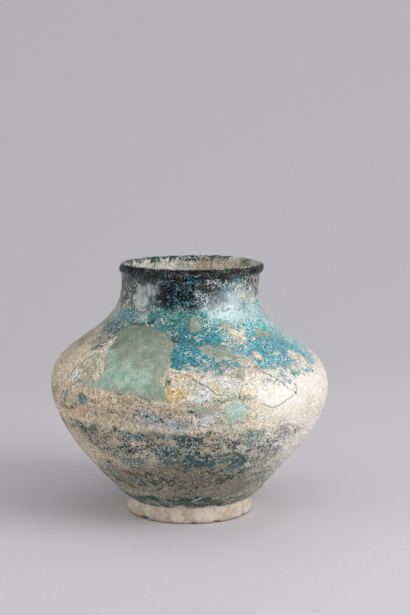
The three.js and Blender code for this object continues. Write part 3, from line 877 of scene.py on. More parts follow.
def make_piece(node, points, sheets, materials):
    """A smooth object in place of a frame node, with its texture map laid out flat."""
    mesh = bpy.data.meshes.new(node + "_looks")
    faces = [face for sheet in sheets for face in sheet.faces.tolist()]
    mesh.from_pydata(points.tolist(), [], faces)
    sides = np.concatenate([np.full(len(sheet.faces), sheet.side) for sheet in sheets])
    for material in materials:
        mesh.materials.append(material)
    mesh.polygons.foreach_set("material_index", sides.astype(np.int32))
    mesh.polygons.foreach_set("use_smooth", np.ones(len(faces), bool))
    layout = mesh.uv_layers.new(name="OFBake")
    places = np.concatenate([sheet.places.reshape(-1, 2) for sheet in sheets])
    low = places.min(0)
    size = (places.max(0) - low).max()
    spread = MAP_MARGIN + (1 - 2 * MAP_MARGIN) * (places - low) / size
    layout.uv.foreach_set("vector", spread.astype(np.float32).ravel())
    piece = bpy.data.objects.new(node + "_looks", mesh)
    bpy.context.scene.collection.objects.link(piece)
    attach(piece, BODY)
    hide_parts(node)
    return piece


def finish_edges(piece):
    """Joins points that meet, and keeps the corners crisp where two sides of the wall meet."""
    shaped = bmesh.new()
    shaped.from_mesh(piece.data)
    bmesh.ops.remove_doubles(shaped, verts=shaped.verts, dist=SAME_POINT)
    for edge in shaped.edges:
        edge.smooth = len({face.material_index for face in edge.link_faces}) < 2
    shaped.to_mesh(piece.data)
    shaped.free()


def set_layers(piece, chosen, layers):
    """Stores a number or a colour for each chosen point, for the material to read."""
    for name, values in layers.items():
        whole = np.zeros((len(piece.data.vertices),) + values.shape[1:], np.float32)
        whole[chosen] = values
        kind, field = ("FLOAT", "value") if values.ndim == 1 else ("FLOAT_COLOR", "color")
        layer = piece.data.attributes.new(name, kind, "POINT")
        layer.data.foreach_set(field, whole.ravel())


NEAR_WALL = 0.2 * MM  # how close to the profile a corner of the frame's outer faces lies


def break_loops(node, wall):
    """The broken edges of a node's outer face, as loops of angles and heights, lowest loop first."""
    shaped = bmesh.new()
    shaped.from_mesh(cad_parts[node].data)
    bmesh.ops.remove_doubles(shaped, verts=shaped.verts, dist=SAME_CORNER)
    low, high = wall.heights[0] - NEAR_WALL, wall.heights[-1] + NEAR_WALL
    outer = {
        vert for vert in shaped.verts
        if low < vert.co.z < high
        and abs(math.hypot(vert.co.x, vert.co.y) - wall.radius(vert.co.z)) < NEAR_WALL
    }
    after = {}
    for face in shaped.faces:
        if outer.issuperset(face.verts):
            for loop in face.loops:
                others = [other for other in loop.edge.link_faces if other is not face]
                if not all(outer.issuperset(other.verts) for other in others):
                    after[loop.vert] = loop.link_loop_next.vert
    loops = []
    while after:
        start, here = after.popitem()
        loop = [start.co.copy()]
        while here is not start:
            loop.append(here.co.copy())
            here = after.pop(here)
        places = np.array(loop)
        places = np.roll(places, -places[:, 2].argmax(), 0)
        across = places[:, 0] - stray(places[:, 2])
        loops.append((np.unwrap(np.arctan2(across, -places[:, 1])), places[:, 2]))
    shaped.free()
    return sorted(loops, key=lambda loop: loop[1].mean())


# How far a break strays from the frame's edge, and how coarsely
EDGE_STRAY = 0.4 * MM
EDGE_GRAIN = 3.2 * MM


def fine_loop(wall, loop, step):
    """A loop with points at even steps, strayed as a real break strays. Neighbours stray alike."""
    angle, height = loop
    whole_turns = round((angle[-1] - angle[0]) / TURN)
    angle = np.append(angle, angle[0] + whole_turns * TURN)
    height = np.append(height, height[0])
    runs = np.hypot(np.diff(angle) * wall.radius(height[:-1]), np.diff(wall.length(height)))
    along = np.concatenate([[0], np.cumsum(runs)])
    spots = np.linspace(0, along[-1], round(along[-1] / step), endpoint=False)
    angle = np.interp(spots, along, angle)
    height = np.interp(spots, along, height)
    shift = stray_at(turned(angle, wall.radius(height), height), EDGE_GRAIN, EDGE_STRAY)
    return angle + shift[:, 0] / wall.radius(height), height + shift[:, 2] * wall.square(height)[0]


def fill_edge_tree(wall):
    """The edges of all the fills, for finding how near a place is to one."""
    loops = [fine_loop(wall, break_loops(node, wall)[0], EDGE_STEP) for node in PLASTER_FILLS]
    points = np.vstack([turned(angle, wall.radius(height), height) for angle, height in loops])
    tree = kdtree.KDTree(len(points))
    for i, point in enumerate(points):
        tree.insert(point, i)
    tree.balance()
    return tree


CAD_GAP = 0.3 * MM  # gap between two nodes of the frame
EDGE_STEP = 0.55 * MM  # spacing of the points of a broken edge
INNER_SHARE = 0.5  # size of the inner face on the texture map, against the outer one
BESIDE = 1.04  # room from one part of the map to the next
STRIP = 0.03  # height of a broken edge's strip on the map, against the piece's width


class Tile:
    """A curved piece of the wall inside a break, fine outside and plainer inside."""

    def __init__(self, node, wall):
        shape = wall.shape
        angle, height = fine_loop(wall, break_loops(node, wall)[0], EDGE_STEP)
        middle = wall.radius(height).mean()
        edge = np.stack([angle * middle, wall.length(height)], -1)
        edge = grown(edge, (CAD_GAP - shape.joint_gap) / 2)
        fine, outer_faces = filled(edge, shape.facet)
        plain, inner_faces = filled(edge, shape.inner_facet)
        self.node = node
        self.places = Places(wall, fine[:, 0] / middle, wall.height_at(fine[:, 1]))
        self.wear = self.places.wear(distance_to_loop(fine, edge))
        self.inner = turned(plain[:, 0] / middle, *wall.inner(wall.height_at(plain[:, 1])))
        self.sheets = tile_sheets(len(edge), fine, outer_faces, plain, inner_faces)

    def make(self, lift, materials):
        """The tile's object, with its outer points lifted off the profile."""
        outer = turned(self.places.angle, *self.places.wall.outer(self.places.height, lift))
        return make_piece(self.node, np.vstack([outer, self.inner]), self.sheets, materials)

    def outer_points(self):
        """Which points of the tile lie on its outer face."""
        return slice(0, len(self.places.angle))


def tile_sheets(rim, fine, outer_faces, plain, inner_faces):
    """Outer face, smaller inner face beside it, and a thin strip for the broken edge below."""
    low = fine.min(0)
    width = np.ptp(fine[:, 0])
    flat = fine - low
    beside = (plain - low) * INNER_SHARE + [width * BESIDE, 0]
    around = np.arange(rim)
    ahead = (around + 1) % rim
    start = np.stack([around / rim * width, np.full(rim, -STRIP * width)], -1)
    step = np.array([width / rim, 0])
    drop = np.array([0, -STRIP * width])
    corners = np.stack([start, start + drop, start + drop + step, start + step], 1)
    count = len(fine)
    edge_faces = np.stack([around, around + count, ahead + count, ahead], -1)
    turned_in = inner_faces[:, ::-1]
    return [
        Sheet(outer_faces, flat[outer_faces], OUTSIDE),
        Sheet(turned_in + count, beside[turned_in], INSIDE),
        Sheet(edge_faces, corners, BROKEN),
    ]


TRIM = 0.9  # how near to the old loop a moved point may come, against the distance moved
CLEARANCE = 0.5  # room left free along a loop that is filled, against the spacing
CROSSING = 1e-9  # how near two edges may pass without being cut


def grown(loop, by):
    """A flat loop moved outwards by a distance, and trimmed where sharp corners would cross."""
    ahead = np.roll(loop, -1, 0) - np.roll(loop, 1, 0)
    ahead /= np.linalg.norm(ahead, axis=1)[:, None]
    moved = loop + by * np.stack([ahead[:, 1], -ahead[:, 0]], -1)
    return moved[distance_to_loop(moved, loop) > by * TRIM]


def filled(loop, spacing):
    """Points and triangles that fill a flat loop. The loop's own points come first."""
    low, high = loop.min(0), loop.max(0)
    grid = []
    for i, row in enumerate(np.arange(low[1], high[1], spacing * math.sqrt(0.75))):
        across = np.arange(low[0] + spacing * (i % 2) / 2, high[0], spacing)
        grid.append(np.stack([across, np.full(len(across), row)], -1))
    grid = np.vstack(grid)
    grid = grid[inside_loop(grid, loop)]
    grid = grid[distance_to_loop(grid, loop) > spacing * CLEARANCE]
    points = np.vstack([loop, grid])
    edges = [(i, (i + 1) % len(loop)) for i in range(len(loop))]
    found = delaunay_2d_cdt([Vector(p) for p in points], edges, [], 0, CROSSING, True)
    if len(found[0]) != len(points):
        raise RuntimeError("a break crosses itself")
    first = np.array([source[0] for source in found[3]])
    faces = first[np.array(found[2])]
    faces = faces[inside_loop(points[faces].mean(1), loop)]
    a, b, c = (points[faces[:, k]] for k in range(3))
    turn = (b[:, 0] - a[:, 0]) * (c[:, 1] - a[:, 1]) - (b[:, 1] - a[:, 1]) * (c[:, 0] - a[:, 0])
    faces[turn < 0] = faces[turn < 0][:, ::-1]
    return points, faces


def inside_loop(points, loop):
    """Which points lie inside a flat loop."""
    inside = np.zeros(len(points), bool)
    for start, end in zip(loop, np.roll(loop, -1, 0)):
        crosses = (start[1] > points[:, 1]) != (end[1] > points[:, 1])
        rise = end[1] - start[1] if end[1] != start[1] else 1
        at = start[0] + (points[:, 1] - start[1]) / rise * (end[0] - start[0])
        inside ^= crosses & (points[:, 0] < at)
    return inside


def distance_to_loop(points, loop):
    """Distance from points to the nearest stretch of a flat loop."""
    nearest = np.full(len(points), np.inf)
    for start, end in zip(loop, np.roll(loop, -1, 0)):
        run = end - start
        share = np.clip((points - start) @ run / (run @ run), 0, 1)
        gap = points - start - share[:, None] * run
        nearest = np.minimum(nearest, np.hypot(gap[:, 0], gap[:, 1]))
    return nearest


# Ring pieces: sections round the axis

QUARTERS = 4  # strips that a ring is cut into on the texture map, laid two by two


class Run(NamedTuple):
    """A run of a ring's rows: its last row, its side, and its size on the texture map."""

    last: int
    side: int
    width: float
    lengths: np.ndarray


def ring_sheets(columns, runs):
    """Faces of a skin through closed columns of rows, each run laid out as four quarter strips."""
    rows = runs[-1].last + 1
    sheets = []
    first = 0
    floor = 0.0
    for run in runs:
        column, row = np.meshgrid(np.arange(columns), np.arange(first, run.last), indexing="ij")
        column, row = column.ravel(), row.ravel()
        here, ahead = column * rows + row, (column + 1) % columns * rows + row
        per = columns // QUARTERS
        quarter = column // per
        step = run.width / columns
        left = (quarter % 2) * run.width / QUARTERS * BESIDE + (column - quarter * per) * step
        along = run.lengths - run.lengths[0]
        low = floor + (quarter // 2) * along[-1] * BESIDE
        near, far = low + along[row - first], low + along[row - first + 1]
        corners = [(left, near), (left + step, near), (left + step, far), (left, far)]
        places = np.stack([np.stack(corner, -1) for corner in corners], 1)
        sheets.append(Sheet(np.stack([here, ahead, ahead + 1, here + 1], -1), places, run.side))
        floor += along[-1] * 2 * BESIDE
        first = run.last
    return sheets


def seam_heights(wall, loop, angles, shift):
    """Height of a broken seam at each angle, moved by part of the joint gap."""
    angle, height = fine_loop(wall, loop, EDGE_STEP)
    if angle[-1] < angle[0]:
        angle, height = angle[::-1], height[::-1]
    return np.interp(angles, np.maximum.accumulate(angle), height, period=TURN) + shift


# Materials


class Finish:
    """A material with a Principled surface, and the one way to add nodes to it."""

    def __init__(self, name):
        self.material = bpy.data.materials.new(name)
        self.material.use_nodes = True
        self.tree = self.material.node_tree
        self.tree.nodes.clear()
        self.surface = self.tree.nodes.new("ShaderNodeBsdfPrincipled")
        self.add("OutputMaterial", {"Surface": self.surface.outputs[0]}, None)
        self.space = self.add("TexCoord", {}, "Object")

    def add(self, kind, inputs, output=0, **settings):
        """Adds a node with its settings, and its inputs as values or as links. Gives one output."""
        node = self.tree.nodes.new("ShaderNode" + kind)
        for name, value in settings.items():
            setattr(node, name, value)
        self.feed(node, inputs)
        return None if output is None else node.outputs[output]

    def feed(self, node, inputs):
        """Gives a node's inputs their values or links."""
        for name, value in inputs.items():
            if isinstance(value, bpy.types.NodeSocket):
                self.tree.links.new(value, node.inputs[name])
            else:
                node.inputs[name].default_value = value

    def close(self, **inputs):
        """Feeds the surface, and gives the finished material."""
        self.feed(self.surface, {name.replace("_", " "): value for name, value in inputs.items()})
        return self.material


def per_metre(millimetres):
    """Scale of a noise whose grains are about so many millimetres wide."""
    return 1 / (millimetres * MM)


SMOOTH = {"interpolation_type": "SMOOTHSTEP"}
COLOURS = {"data_type": "RGBA"}

GRIT = 0.9  # grain of the grit in mm: real grit is nearer 0.3 and would not show

# Heights between which the wall turns steep, so that the melted glaze ran down it.
RUNS_FROM = 122 * MM
RUNS_FULL = 134 * MM


class Patterns(NamedTuple):
    """The patterns that the layers of a weathered coat share, so that they break up together."""

    clusters: bpy.types.NodeSocket
    tones: bpy.types.NodeSocket
    scales: bpy.types.NodeSocket
    grit: bpy.types.NodeSocket
    pores: bpy.types.NodeSocket
    ragged: bpy.types.NodeSocket
    threads: bpy.types.NodeSocket


def weathering(finish):
    """Clusters, tones, scales, grit and pores, each of its own size, and what is made of them."""
    add, space = finish.add, finish.space
    lying = add("Mapping", {"Vector": space, "Scale": (1, 1, 1.7)})
    clusters = add("TexNoise", {"Vector": lying, "Scale": per_metre(9), "Detail": 3, "Roughness": 0.6})
    tones = add("TexNoise", {"Vector": lying, "Scale": per_metre(5.3), "Detail": 4, "Roughness": 0.6})
    scales = add("TexNoise", {"Vector": space, "Scale": per_metre(2.6), "Detail": 4, "Roughness": 0.65})
    grit = add("TexNoise", {"Vector": space, "Scale": per_metre(GRIT), "Detail": 2})
    pores = add("TexNoise", {"Vector": space, "Scale": per_metre(1.3), "Detail": 3})
    curls = add("TexNoise", {"Vector": space, "Scale": per_metre(2.3), "Detail": 2, "Roughness": 0.6})

    # Ragged: scales roughened by grit and gathered in clusters, drawn out where the glaze ran.
    ragged = add("Mix", {0: 0.36, 2: scales, 3: grit})
    ragged = add("Mix", {0: 0.3, 2: ragged, 3: clusters})
    running = add("Mapping", {"Vector": space, "Scale": (1, 1, 0.3)})
    runs = add("TexNoise", {"Vector": running, "Scale": per_metre(1.8), "Detail": 3, "Roughness": 0.6})
    height = add("SeparateXYZ", {"Vector": space}, 2)
    steep = add(
        "MapRange",
        {"Value": height, "From Min": RUNS_FROM, "From Max": RUNS_FULL, "To Max": 0.5},
        **SMOOTH,
    )
    ragged = add("Mix", {0: steep, 2: ragged, 3: runs})

    # Threads: the fine curling lines along which the glaze crazed and lifted, in clumps.
    off = add("Math", {0: curls, 1: 0.5}, operation="SUBTRACT")
    off = add("Math", {0: off}, operation="ABSOLUTE")
    threads = add("MapRange", {"Value": off, "From Min": 0.045, "From Max": 0.015}, **SMOOTH)
    clumps = add(
        "MapRange", {"Value": clusters, "From Min": 0.46, "From Max": 0.57, "To Min": 0.08}, **SMOOTH,
    )
    threads = add("Math", {0: threads, 1: clumps}, operation="MULTIPLY")
    return Patterns(clusters, tones, scales, grit, pores, ragged, threads)


def worn_ground(finish, patterns, specks):
    """The chalky ground: grey and iron blooms, dull and pale flecks, and crazing, most where specks lie."""
    add = finish.add
    colour = add("Attribute", {}, 0, attribute_name="ground_tint")
    weather = add("MapRange", {"Value": specks, "From Max": 0.5, "To Min": 0.04, "To Max": 0.5})
    bloom = add("MapRange", {"Value": patterns.tones, "From Min": 0.46, "From Max": 0.34}, **SMOOTH)
    bloom = add("Math", {0: bloom, 1: weather}, operation="MULTIPLY")
    colour = add("Mix", {0: bloom, 6: colour, 7: linear("#a3aeac")}, 2, **COLOURS)
    iron = add("MapRange", {"Value": patterns.tones, "From Min": 0.54, "From Max": 0.66}, **SMOOTH)
    iron = add("Math", {0: iron, 1: weather}, operation="MULTIPLY")
    colour = add("Mix", {0: iron, 6: colour, 7: linear("#ccb28a")}, 2, **COLOURS)
    dull = add(
        "MapRange", {"Value": patterns.ragged, "From Min": 0.5, "From Max": 0.4, "To Max": 0.6}, **SMOOTH,
    )
    dulled = add("Math", {0: weather, 1: 2.0}, operation="MULTIPLY")
    dull = add("Math", {0: dull, 1: dulled}, operation="MULTIPLY")
    colour = add("Mix", {0: dull, 6: colour, 7: linear("#8b8571")}, 2, **COLOURS)
    pale = add(
        "MapRange", {"Value": patterns.ragged, "From Min": 0.5, "From Max": 0.57, "To Max": 0.95}, **SMOOTH,
    )
    colour = add("Mix", {0: pale, 6: colour, 7: linear("#f5e9cd")}, 2, **COLOURS)
    grain = add(
        "MapRange",
        {"Value": patterns.pores, "From Min": 0.3, "From Max": 0.7, "To Min": 0.35, "To Max": 1.6},
    )
    grainy = add("Math", {0: weather, 1: 1.7}, operation="MULTIPLY", use_clamp=True)
    colour = add("HueSaturation", {"Fac": grainy, "Value": grain, "Color": colour})
    crazed = add("Math", {0: patterns.threads, 1: weather}, operation="MULTIPLY")
    return add("Mix", {0: crazed, 6: colour, 7: linear("#5f6454")}, 2, **COLOURS)


def dark_specks(finish, patterns, specks, ground):
    """Dark glaze left in the pores of the ground, in clusters. Gives the colour and the specks' mask."""
    add = finish.add
    fine = add("Mix", {0: 0.22, 2: patterns.pores, 3: patterns.grit})
    thick = add("Math", {0: fine, 1: 4.8}, operation="MULTIPLY")
    thick = add("Math", {0: patterns.clusters, 1: 2.6, 2: thick}, operation="MULTIPLY_ADD")
    thick = add("Math", {0: specks, 1: 1.5, 2: thick}, operation="MULTIPLY_ADD")
    mask = add("MapRange", {"Value": thick, "From Min": 4.81, "From Max": 4.97}, **SMOOTH)
    firm = add("MapRange", {"Value": specks, "From Min": 0.25, "From Max": 0.6, "To Min": 0.4})
    mask = add("Math", {0: mask, 1: firm}, operation="MULTIPLY")
    kind = add("MapRange", {"Value": patterns.tones, "From Min": 0.44, "From Max": 0.56}, **SMOOTH)
    speck = add("Mix", {0: kind, 6: linear("#223f39"), 7: linear("#303322")}, 2, **COLOURS)
    return add("Mix", {0: mask, 6: ground, 7: speck}, 2, **COLOURS), mask


def flaked_glaze(finish, patterns, ground):
    """Ragged scales of glaze on the ground, with painted shade as a dark rim, deep where thick and clouded
    where thin.

    Gives the colour, the glaze's mask, and how far the glaze has turned into a black crust.
    """
    add = finish.add
    cover = add("Attribute", {}, 2, attribute_name="glaze")
    cover = add("Math", {0: cover, 1: 1.5}, operation="MULTIPLY")
    spread = add("Math", {0: patterns.ragged, 1: 6.0, 2: cover}, operation="MULTIPLY_ADD")
    mask = add("MapRange", {"Value": spread, "From Min": 3.68, "From Max": 3.82}, **SMOOTH)
    # Painted shade: a dark rim beside each scale, for the shadow of the thick glaze's edge
    rim = add("MapRange", {"Value": spread, "From Min": 3.54, "From Max": 3.7, "To Max": 0.5}, **SMOOTH)
    ground = add("Mix", {0: rim, 6: ground, 7: linear("#3b4944")}, 2, **COLOURS)
    tint = add("Attribute", {}, 0, attribute_name="glaze_tint")
    hue = add(
        "MapRange",
        {"Value": patterns.tones, "From Min": 0.3, "From Max": 0.7, "To Min": 0.46, "To Max": 0.52},
    )
    depth = add(
        "MapRange",
        {"Value": patterns.pores, "From Min": 0.32, "From Max": 0.68, "To Min": 0.22, "To Max": 1.75},
    )
    strength = add(
        "MapRange",
        {"Value": patterns.pores, "From Min": 0.45, "From Max": 0.72, "To Min": 1.05, "To Max": 0.65},
    )
    tint = add("HueSaturation", {"Hue": hue, "Saturation": strength, "Value": depth, "Color": tint})

    # Threads where it lifted: chalk shows through the glaze, and teal through the crust.
    crust = add("MapRange", {"Value": cover, "From Min": 1.42, "From Max": 1.58})
    short = add("MapRange", {"Value": cover, "From Min": 2.5, "From Max": 2.0})
    bared = add("Math", {0: crust, 1: short}, operation="MULTIPLY")
    seen = add("Mix", {0: bared, 6: linear("#f0ece0"), 7: linear("#227686")}, 2, **COLOURS)
    thin = add("MapRange", {"Value": cover, "From Min": 1.8, "From Max": 2.5, "To Min": 0.8, "To Max": 0.1})
    lifted = add("Math", {0: patterns.threads, 1: thin}, operation="MULTIPLY")
    tint = add("Mix", {0: lifted, 6: tint, 7: seen}, 2, **COLOURS)

    # Pinpoint flecks where the crust has popped off. The thickest, on the lip, has kept nearly all.
    popped = add("MapRange", {"Value": patterns.grit, "From Min": 0.56, "From Max": 0.65}, **SMOOTH)
    strewn = add(
        "MapRange",
        {"Value": patterns.clusters, "From Min": 0.4, "From Max": 0.55, "To Min": 0.45},
        **SMOOTH,
    )
    popped = add("Math", {0: popped, 1: strewn}, operation="MULTIPLY")
    heavy = add("MapRange", {"Value": cover, "From Min": 1.35, "From Max": 1.6, "To Max": 0.6})
    heavy = add("Math", {0: heavy, 1: short}, operation="MULTIPLY")
    popped = add("Math", {0: popped, 1: heavy}, operation="MULTIPLY")
    tint = add("Mix", {0: popped, 6: tint, 7: linear("#b9d0d2")}, 2, **COLOURS)
    return add("Mix", {0: mask, 6: ground, 7: tint}, 2, **COLOURS), mask, crust


def clouded_film_and_reflection(finish, patterns, colour):
    """A thin, cloudy film over the glaze, worn through in places, and on the neck painted reflections."""
    add = finish.add
    film_and_reflection = add("Attribute", {}, 2, attribute_name="film_and_reflection")
    cloudy = add(
        "MapRange", {"Value": patterns.ragged, "From Min": 0.4, "From Max": 0.56, "To Min": 0.1}, **SMOOTH,
    )
    mask = add("Math", {0: film_and_reflection, 1: cloudy}, operation="MULTIPLY")
    tint = add("Attribute", {}, 0, attribute_name="film_and_reflection_tint")
    return add("Mix", {0: mask, 6: colour, 7: tint}, 2, **COLOURS)


def brushed_toning(finish, patterns, colour):
    """Cloudy paint on the plaster, brushed a little over its neighbours. Gives the colour and its mask."""
    add, space = finish.add, finish.space
    clouds = add("TexNoise", {"Vector": space, "Scale": per_metre(5), "Detail": 5, "Roughness": 0.65})
    dabs = add("TexNoise", {"Vector": space, "Scale": per_metre(1.1), "Detail": 3, "Roughness": 0.65})
    toning = add("Attribute", {}, 0, attribute_name="toning")
    cloud = add(
        "MapRange", {"Value": clouds, "From Min": 0.3, "From Max": 0.7, "To Min": 0.72, "To Max": 1.28},
    )
    toning = add("HueSaturation", {"Value": cloud, "Color": toning})
    dab = add("MapRange", {"Value": dabs, "From Min": 0.3, "From Max": 0.7, "To Min": 0.7, "To Max": 1.3})
    strength = add(
        "MapRange", {"Value": clouds, "From Min": 0.35, "From Max": 0.65, "To Min": 1.3, "To Max": 0.6},
    )
    toning = add("HueSaturation", {"Value": dab, "Saturation": strength, "Color": toning})
    plaster = add("Attribute", {}, 2, attribute_name="plaster")
    mask = add("Math", {0: patterns.ragged, 1: 4.0, 2: plaster}, operation="MULTIPLY_ADD")
    mask = add("MapRange", {"Value": mask, "From Min": 2.3, "From Max": 2.7}, **SMOOTH)
    near = add("Math", {0: plaster, 1: 0.02}, operation="GREATER_THAN")
    mask = add("Math", {0: mask, 1: near}, operation="MULTIPLY")
    return add("Mix", {0: mask, 6: colour, 7: toning}, 2, **COLOURS), mask


def stained_breaks(finish, patterns, colour):
    """Dirt in the open breaks: a dark hairline, here and there wiped out."""
    add = finish.add
    stain = add("Attribute", {}, 2, attribute_name="stain")
    wiped = add(
        "MapRange", {"Value": patterns.scales, "From Min": 0.34, "From Max": 0.5, "To Max": 0.85}, **SMOOTH,
    )
    line = add("MapRange", {"Value": stain, "From Min": 0.4, "From Max": 0.95}, **SMOOTH)
    line = add("Math", {0: line, 1: wiped}, operation="MULTIPLY")
    return add("Mix", {0: line, 6: colour, 7: linear("#46433a")}, 2, **COLOURS)


class CoatSockets(NamedTuple):
    """What a weathered coat gives to the surface that it lies on."""

    colour: bpy.types.NodeSocket
    glaze: bpy.types.NodeSocket
    specks: bpy.types.NodeSocket
    plaster: bpy.types.NodeSocket
    grit: bpy.types.NodeSocket
    crust: bpy.types.NodeSocket


def weathered_coat(finish):
    """Worn ground, specks, glaze with painted edge shade, film and painted reflections, toned plaster,
    stained breaks, one over another.
    """
    patterns = weathering(finish)
    specks = finish.add("Attribute", {}, 2, attribute_name="specks")
    colour = worn_ground(finish, patterns, specks)
    colour, speck_mask = dark_specks(finish, patterns, specks, colour)
    colour, glaze_mask, crust = flaked_glaze(finish, patterns, colour)
    colour = clouded_film_and_reflection(finish, patterns, colour)
    colour, plaster_mask = brushed_toning(finish, patterns, colour)
    colour = stained_breaks(finish, patterns, colour)
    return CoatSockets(colour, glaze_mask, speck_mask, plaster_mask, patterns.grit, crust)


def weathered_glaze():
    """Alkaline turquoise glaze on pale stonepaste, long buried.

    The eye sees glassy blue-green scales, ragged where they have flaked off a chalky ground, dark
    specks in the pores, and a dull, pale film of corroded glass, which on the neck also holds painted
    reflections.
    """
    finish = Finish("weathered_turquoise_glaze")
    add = finish.add
    coat = weathered_coat(finish)
    gloss = add("MapRange", {"Value": coat.glaze, "To Min": 0.55, "To Max": 0.31})
    gloss = add("Mix", {0: coat.plaster, 2: gloss, 3: 0.55})

    # The black crust shines less than the glaze.
    shine = add("MapRange", {"Value": coat.crust, "From Min": 0.5, "To Min": 0.35, "To Max": 0.1})

    # The glaze stands proud of the ground, and the specks lie in pits.
    step = add("Math", {0: coat.glaze, 1: 0.8, 2: coat.grit}, operation="MULTIPLY_ADD")
    relief = add("Math", {0: coat.specks, 1: -0.5, 2: step}, operation="MULTIPLY_ADD")
    bump = add("Bump", {"Height": relief, "Strength": 0.5, "Distance": 0.15 * MM})
    return finish.close(Base_Color=coat.colour, Roughness=gloss, Normal=bump, Specular_IOR_Level=shine)


def toned_plaster():
    """Plaster of Paris, scraped level, toned with thin paint and touched in along its edges.

    The eye sees a matt, cloudy grey-green with brushed grain, which breaks up into flecks of its
    neighbours' colours at the edges.
    """
    finish = Finish("toned_plaster_fill")
    coat = weathered_coat(finish)
    gloss = finish.add("MapRange", {"Value": coat.grit, "To Min": 0.42, "To Max": 0.62})
    bump = finish.add("Bump", {"Height": coat.grit, "Strength": 0.35, "Distance": 0.1 * MM})
    return finish.close(Base_Color=coat.colour, Roughness=gloss, Normal=bump)


def bare_clay():
    """Unglazed buff stonepaste, wiped and worn.

    The eye sees a chalky, warm pale body with brown pits, darker in its chips and along its lower edge.
    """
    finish = Finish("bare_buff_stonepaste")
    add, space = finish.add, finish.space
    clouds = add("TexNoise", {"Vector": space, "Scale": per_metre(7), "Detail": 5, "Roughness": 0.65})
    grit = add("TexNoise", {"Vector": space, "Scale": per_metre(GRIT), "Detail": 3, "Roughness": 0.6})
    share = add("MapRange", {"Value": clouds, "From Min": 0.38, "From Max": 0.62}, **SMOOTH)
    colour = add("Mix", {0: share, 6: linear("#bfae98"), 7: linear("#ddd3c4")}, 2, **COLOURS)
    pits = add("MapRange", {"Value": grit, "From Min": 0.58, "From Max": 0.72, "To Max": 0.7}, **SMOOTH)
    colour = add("Mix", {0: pits, 6: colour, 7: linear("#8f7a62")}, 2, **COLOURS)
    # Darker along the foot's lower edge and in its chips
    darkening = add("Attribute", {}, 2, attribute_name="darkening")
    colour = add("Mix", {0: darkening, 6: colour, 7: linear("#5b4a3b")}, 2, **COLOURS)
    rough = add("MapRange", {"Value": clouds, "To Min": 0.7, "To Max": 0.9})
    bump = add("Bump", {"Height": grit, "Strength": 0.5, "Distance": 0.15 * MM})
    return finish.close(Base_Color=colour, Roughness=rough, Normal=bump)


def inner_glaze():
    """Pale glaze poured inside the vase, clouded and stained.

    The eye sees a milky green-white film with beige stains, half glossy.
    """
    finish = Finish("clouded_inner_glaze")
    add, space = finish.add, finish.space
    clouds = add("TexNoise", {"Vector": space, "Scale": per_metre(22), "Detail": 4, "Roughness": 0.6})
    flecks = add("TexNoise", {"Vector": space, "Scale": per_metre(1.6), "Detail": 4, "Roughness": 0.7})
    share = add("MapRange", {"Value": clouds, "From Min": 0.4, "From Max": 0.6}, **SMOOTH)
    colour = add("Mix", {0: share, 6: linear("#d9dccd"), 7: linear("#bcae95")}, 2, **COLOURS)
    spots = add("MapRange", {"Value": flecks, "From Min": 0.56, "From Max": 0.7, "To Max": 0.6}, **SMOOTH)
    colour = add("Mix", {0: spots, 6: colour, 7: linear("#7f8a78")}, 2, **COLOURS)
    gloss = add(
        "MapRange", {"Value": flecks, "From Min": 0.3, "From Max": 0.7, "To Min": 0.35, "To Max": 0.6},
    )
    bump = add("Bump", {"Height": flecks, "Strength": 0.3, "Distance": 0.15 * MM})
    return finish.close(Base_Color=colour, Roughness=gloss, Normal=bump)


def broken_clay():
    """Stonepaste as it broke.

    The eye sees a sugary, matt, pale buff.
    """
    finish = Finish("broken_stonepaste")
    add, space = finish.add, finish.space
    grains = add("TexNoise", {"Vector": space, "Scale": per_metre(0.7), "Detail": 3, "Roughness": 0.7})
    share = add("MapRange", {"Value": grains, "From Min": 0.35, "From Max": 0.65})
    colour = add("Mix", {0: share, 6: linear("#b39f86"), 7: linear("#d6c7b0")}, 2, **COLOURS)
    rough = add("MapRange", {"Value": grains, "To Min": 0.75, "To Max": 0.95})
    bump = add("Bump", {"Height": grains, "Strength": 0.5, "Distance": 0.2 * MM})
    return finish.close(Base_Color=colour, Roughness=rough, Normal=bump)


def studio_paper(colour):
    """Matt backdrop paper.

    The eye sees one even colour with a breath of fibre.
    """
    finish = Finish("studio_paper")
    add, space = finish.add, finish.space
    fibre = add("TexNoise", {"Vector": space, "Scale": per_metre(2.5), "Detail": 3})
    shade = add(
        "MapRange", {"Value": fibre, "From Min": 0.3, "From Max": 0.7, "To Min": 0.06, "To Max": 0},
    )
    tone = add("Mix", {0: shade, 6: (*colour, 1.0), 7: linear("#000000")}, 2, **COLOURS)
    return finish.close(Base_Color=tone, Roughness=0.9)


MADE = {}  # materials by their maker


def shared(maker):
    """The material that a maker gives, made once."""
    if maker not in MADE:
        MADE[maker] = maker()
    return MADE[maker]


# Operators


class VASE_OT_sherds(bpy.types.Operator):
    """Makes the glazed sherds of the shoulder and belly"""

    bl_idname = "vase.sherds"
    bl_label = "Glazed Sherds"

    def execute(self, context):
        wall = Wall(context.scene.vase_shape)
        fill_edges = fill_edge_tree(wall)
        materials = [shared(weathered_glaze), shared(inner_glaze), shared(broken_clay)]
        for node in GLAZED_SHERDS:
            tile = Tile(node, wall)
            plaster = retouching(tile.places, fill_edges)
            layers = coat_layers(tile.places, OUTER_COAT, tile.wear, plaster)
            lift = glaze_relief(tile.places, layers["glaze"], tile.wear)
            piece = tile.make(lift, materials)
            set_layers(piece, tile.outer_points(), layers)
            finish_edges(piece)
        return {"FINISHED"}


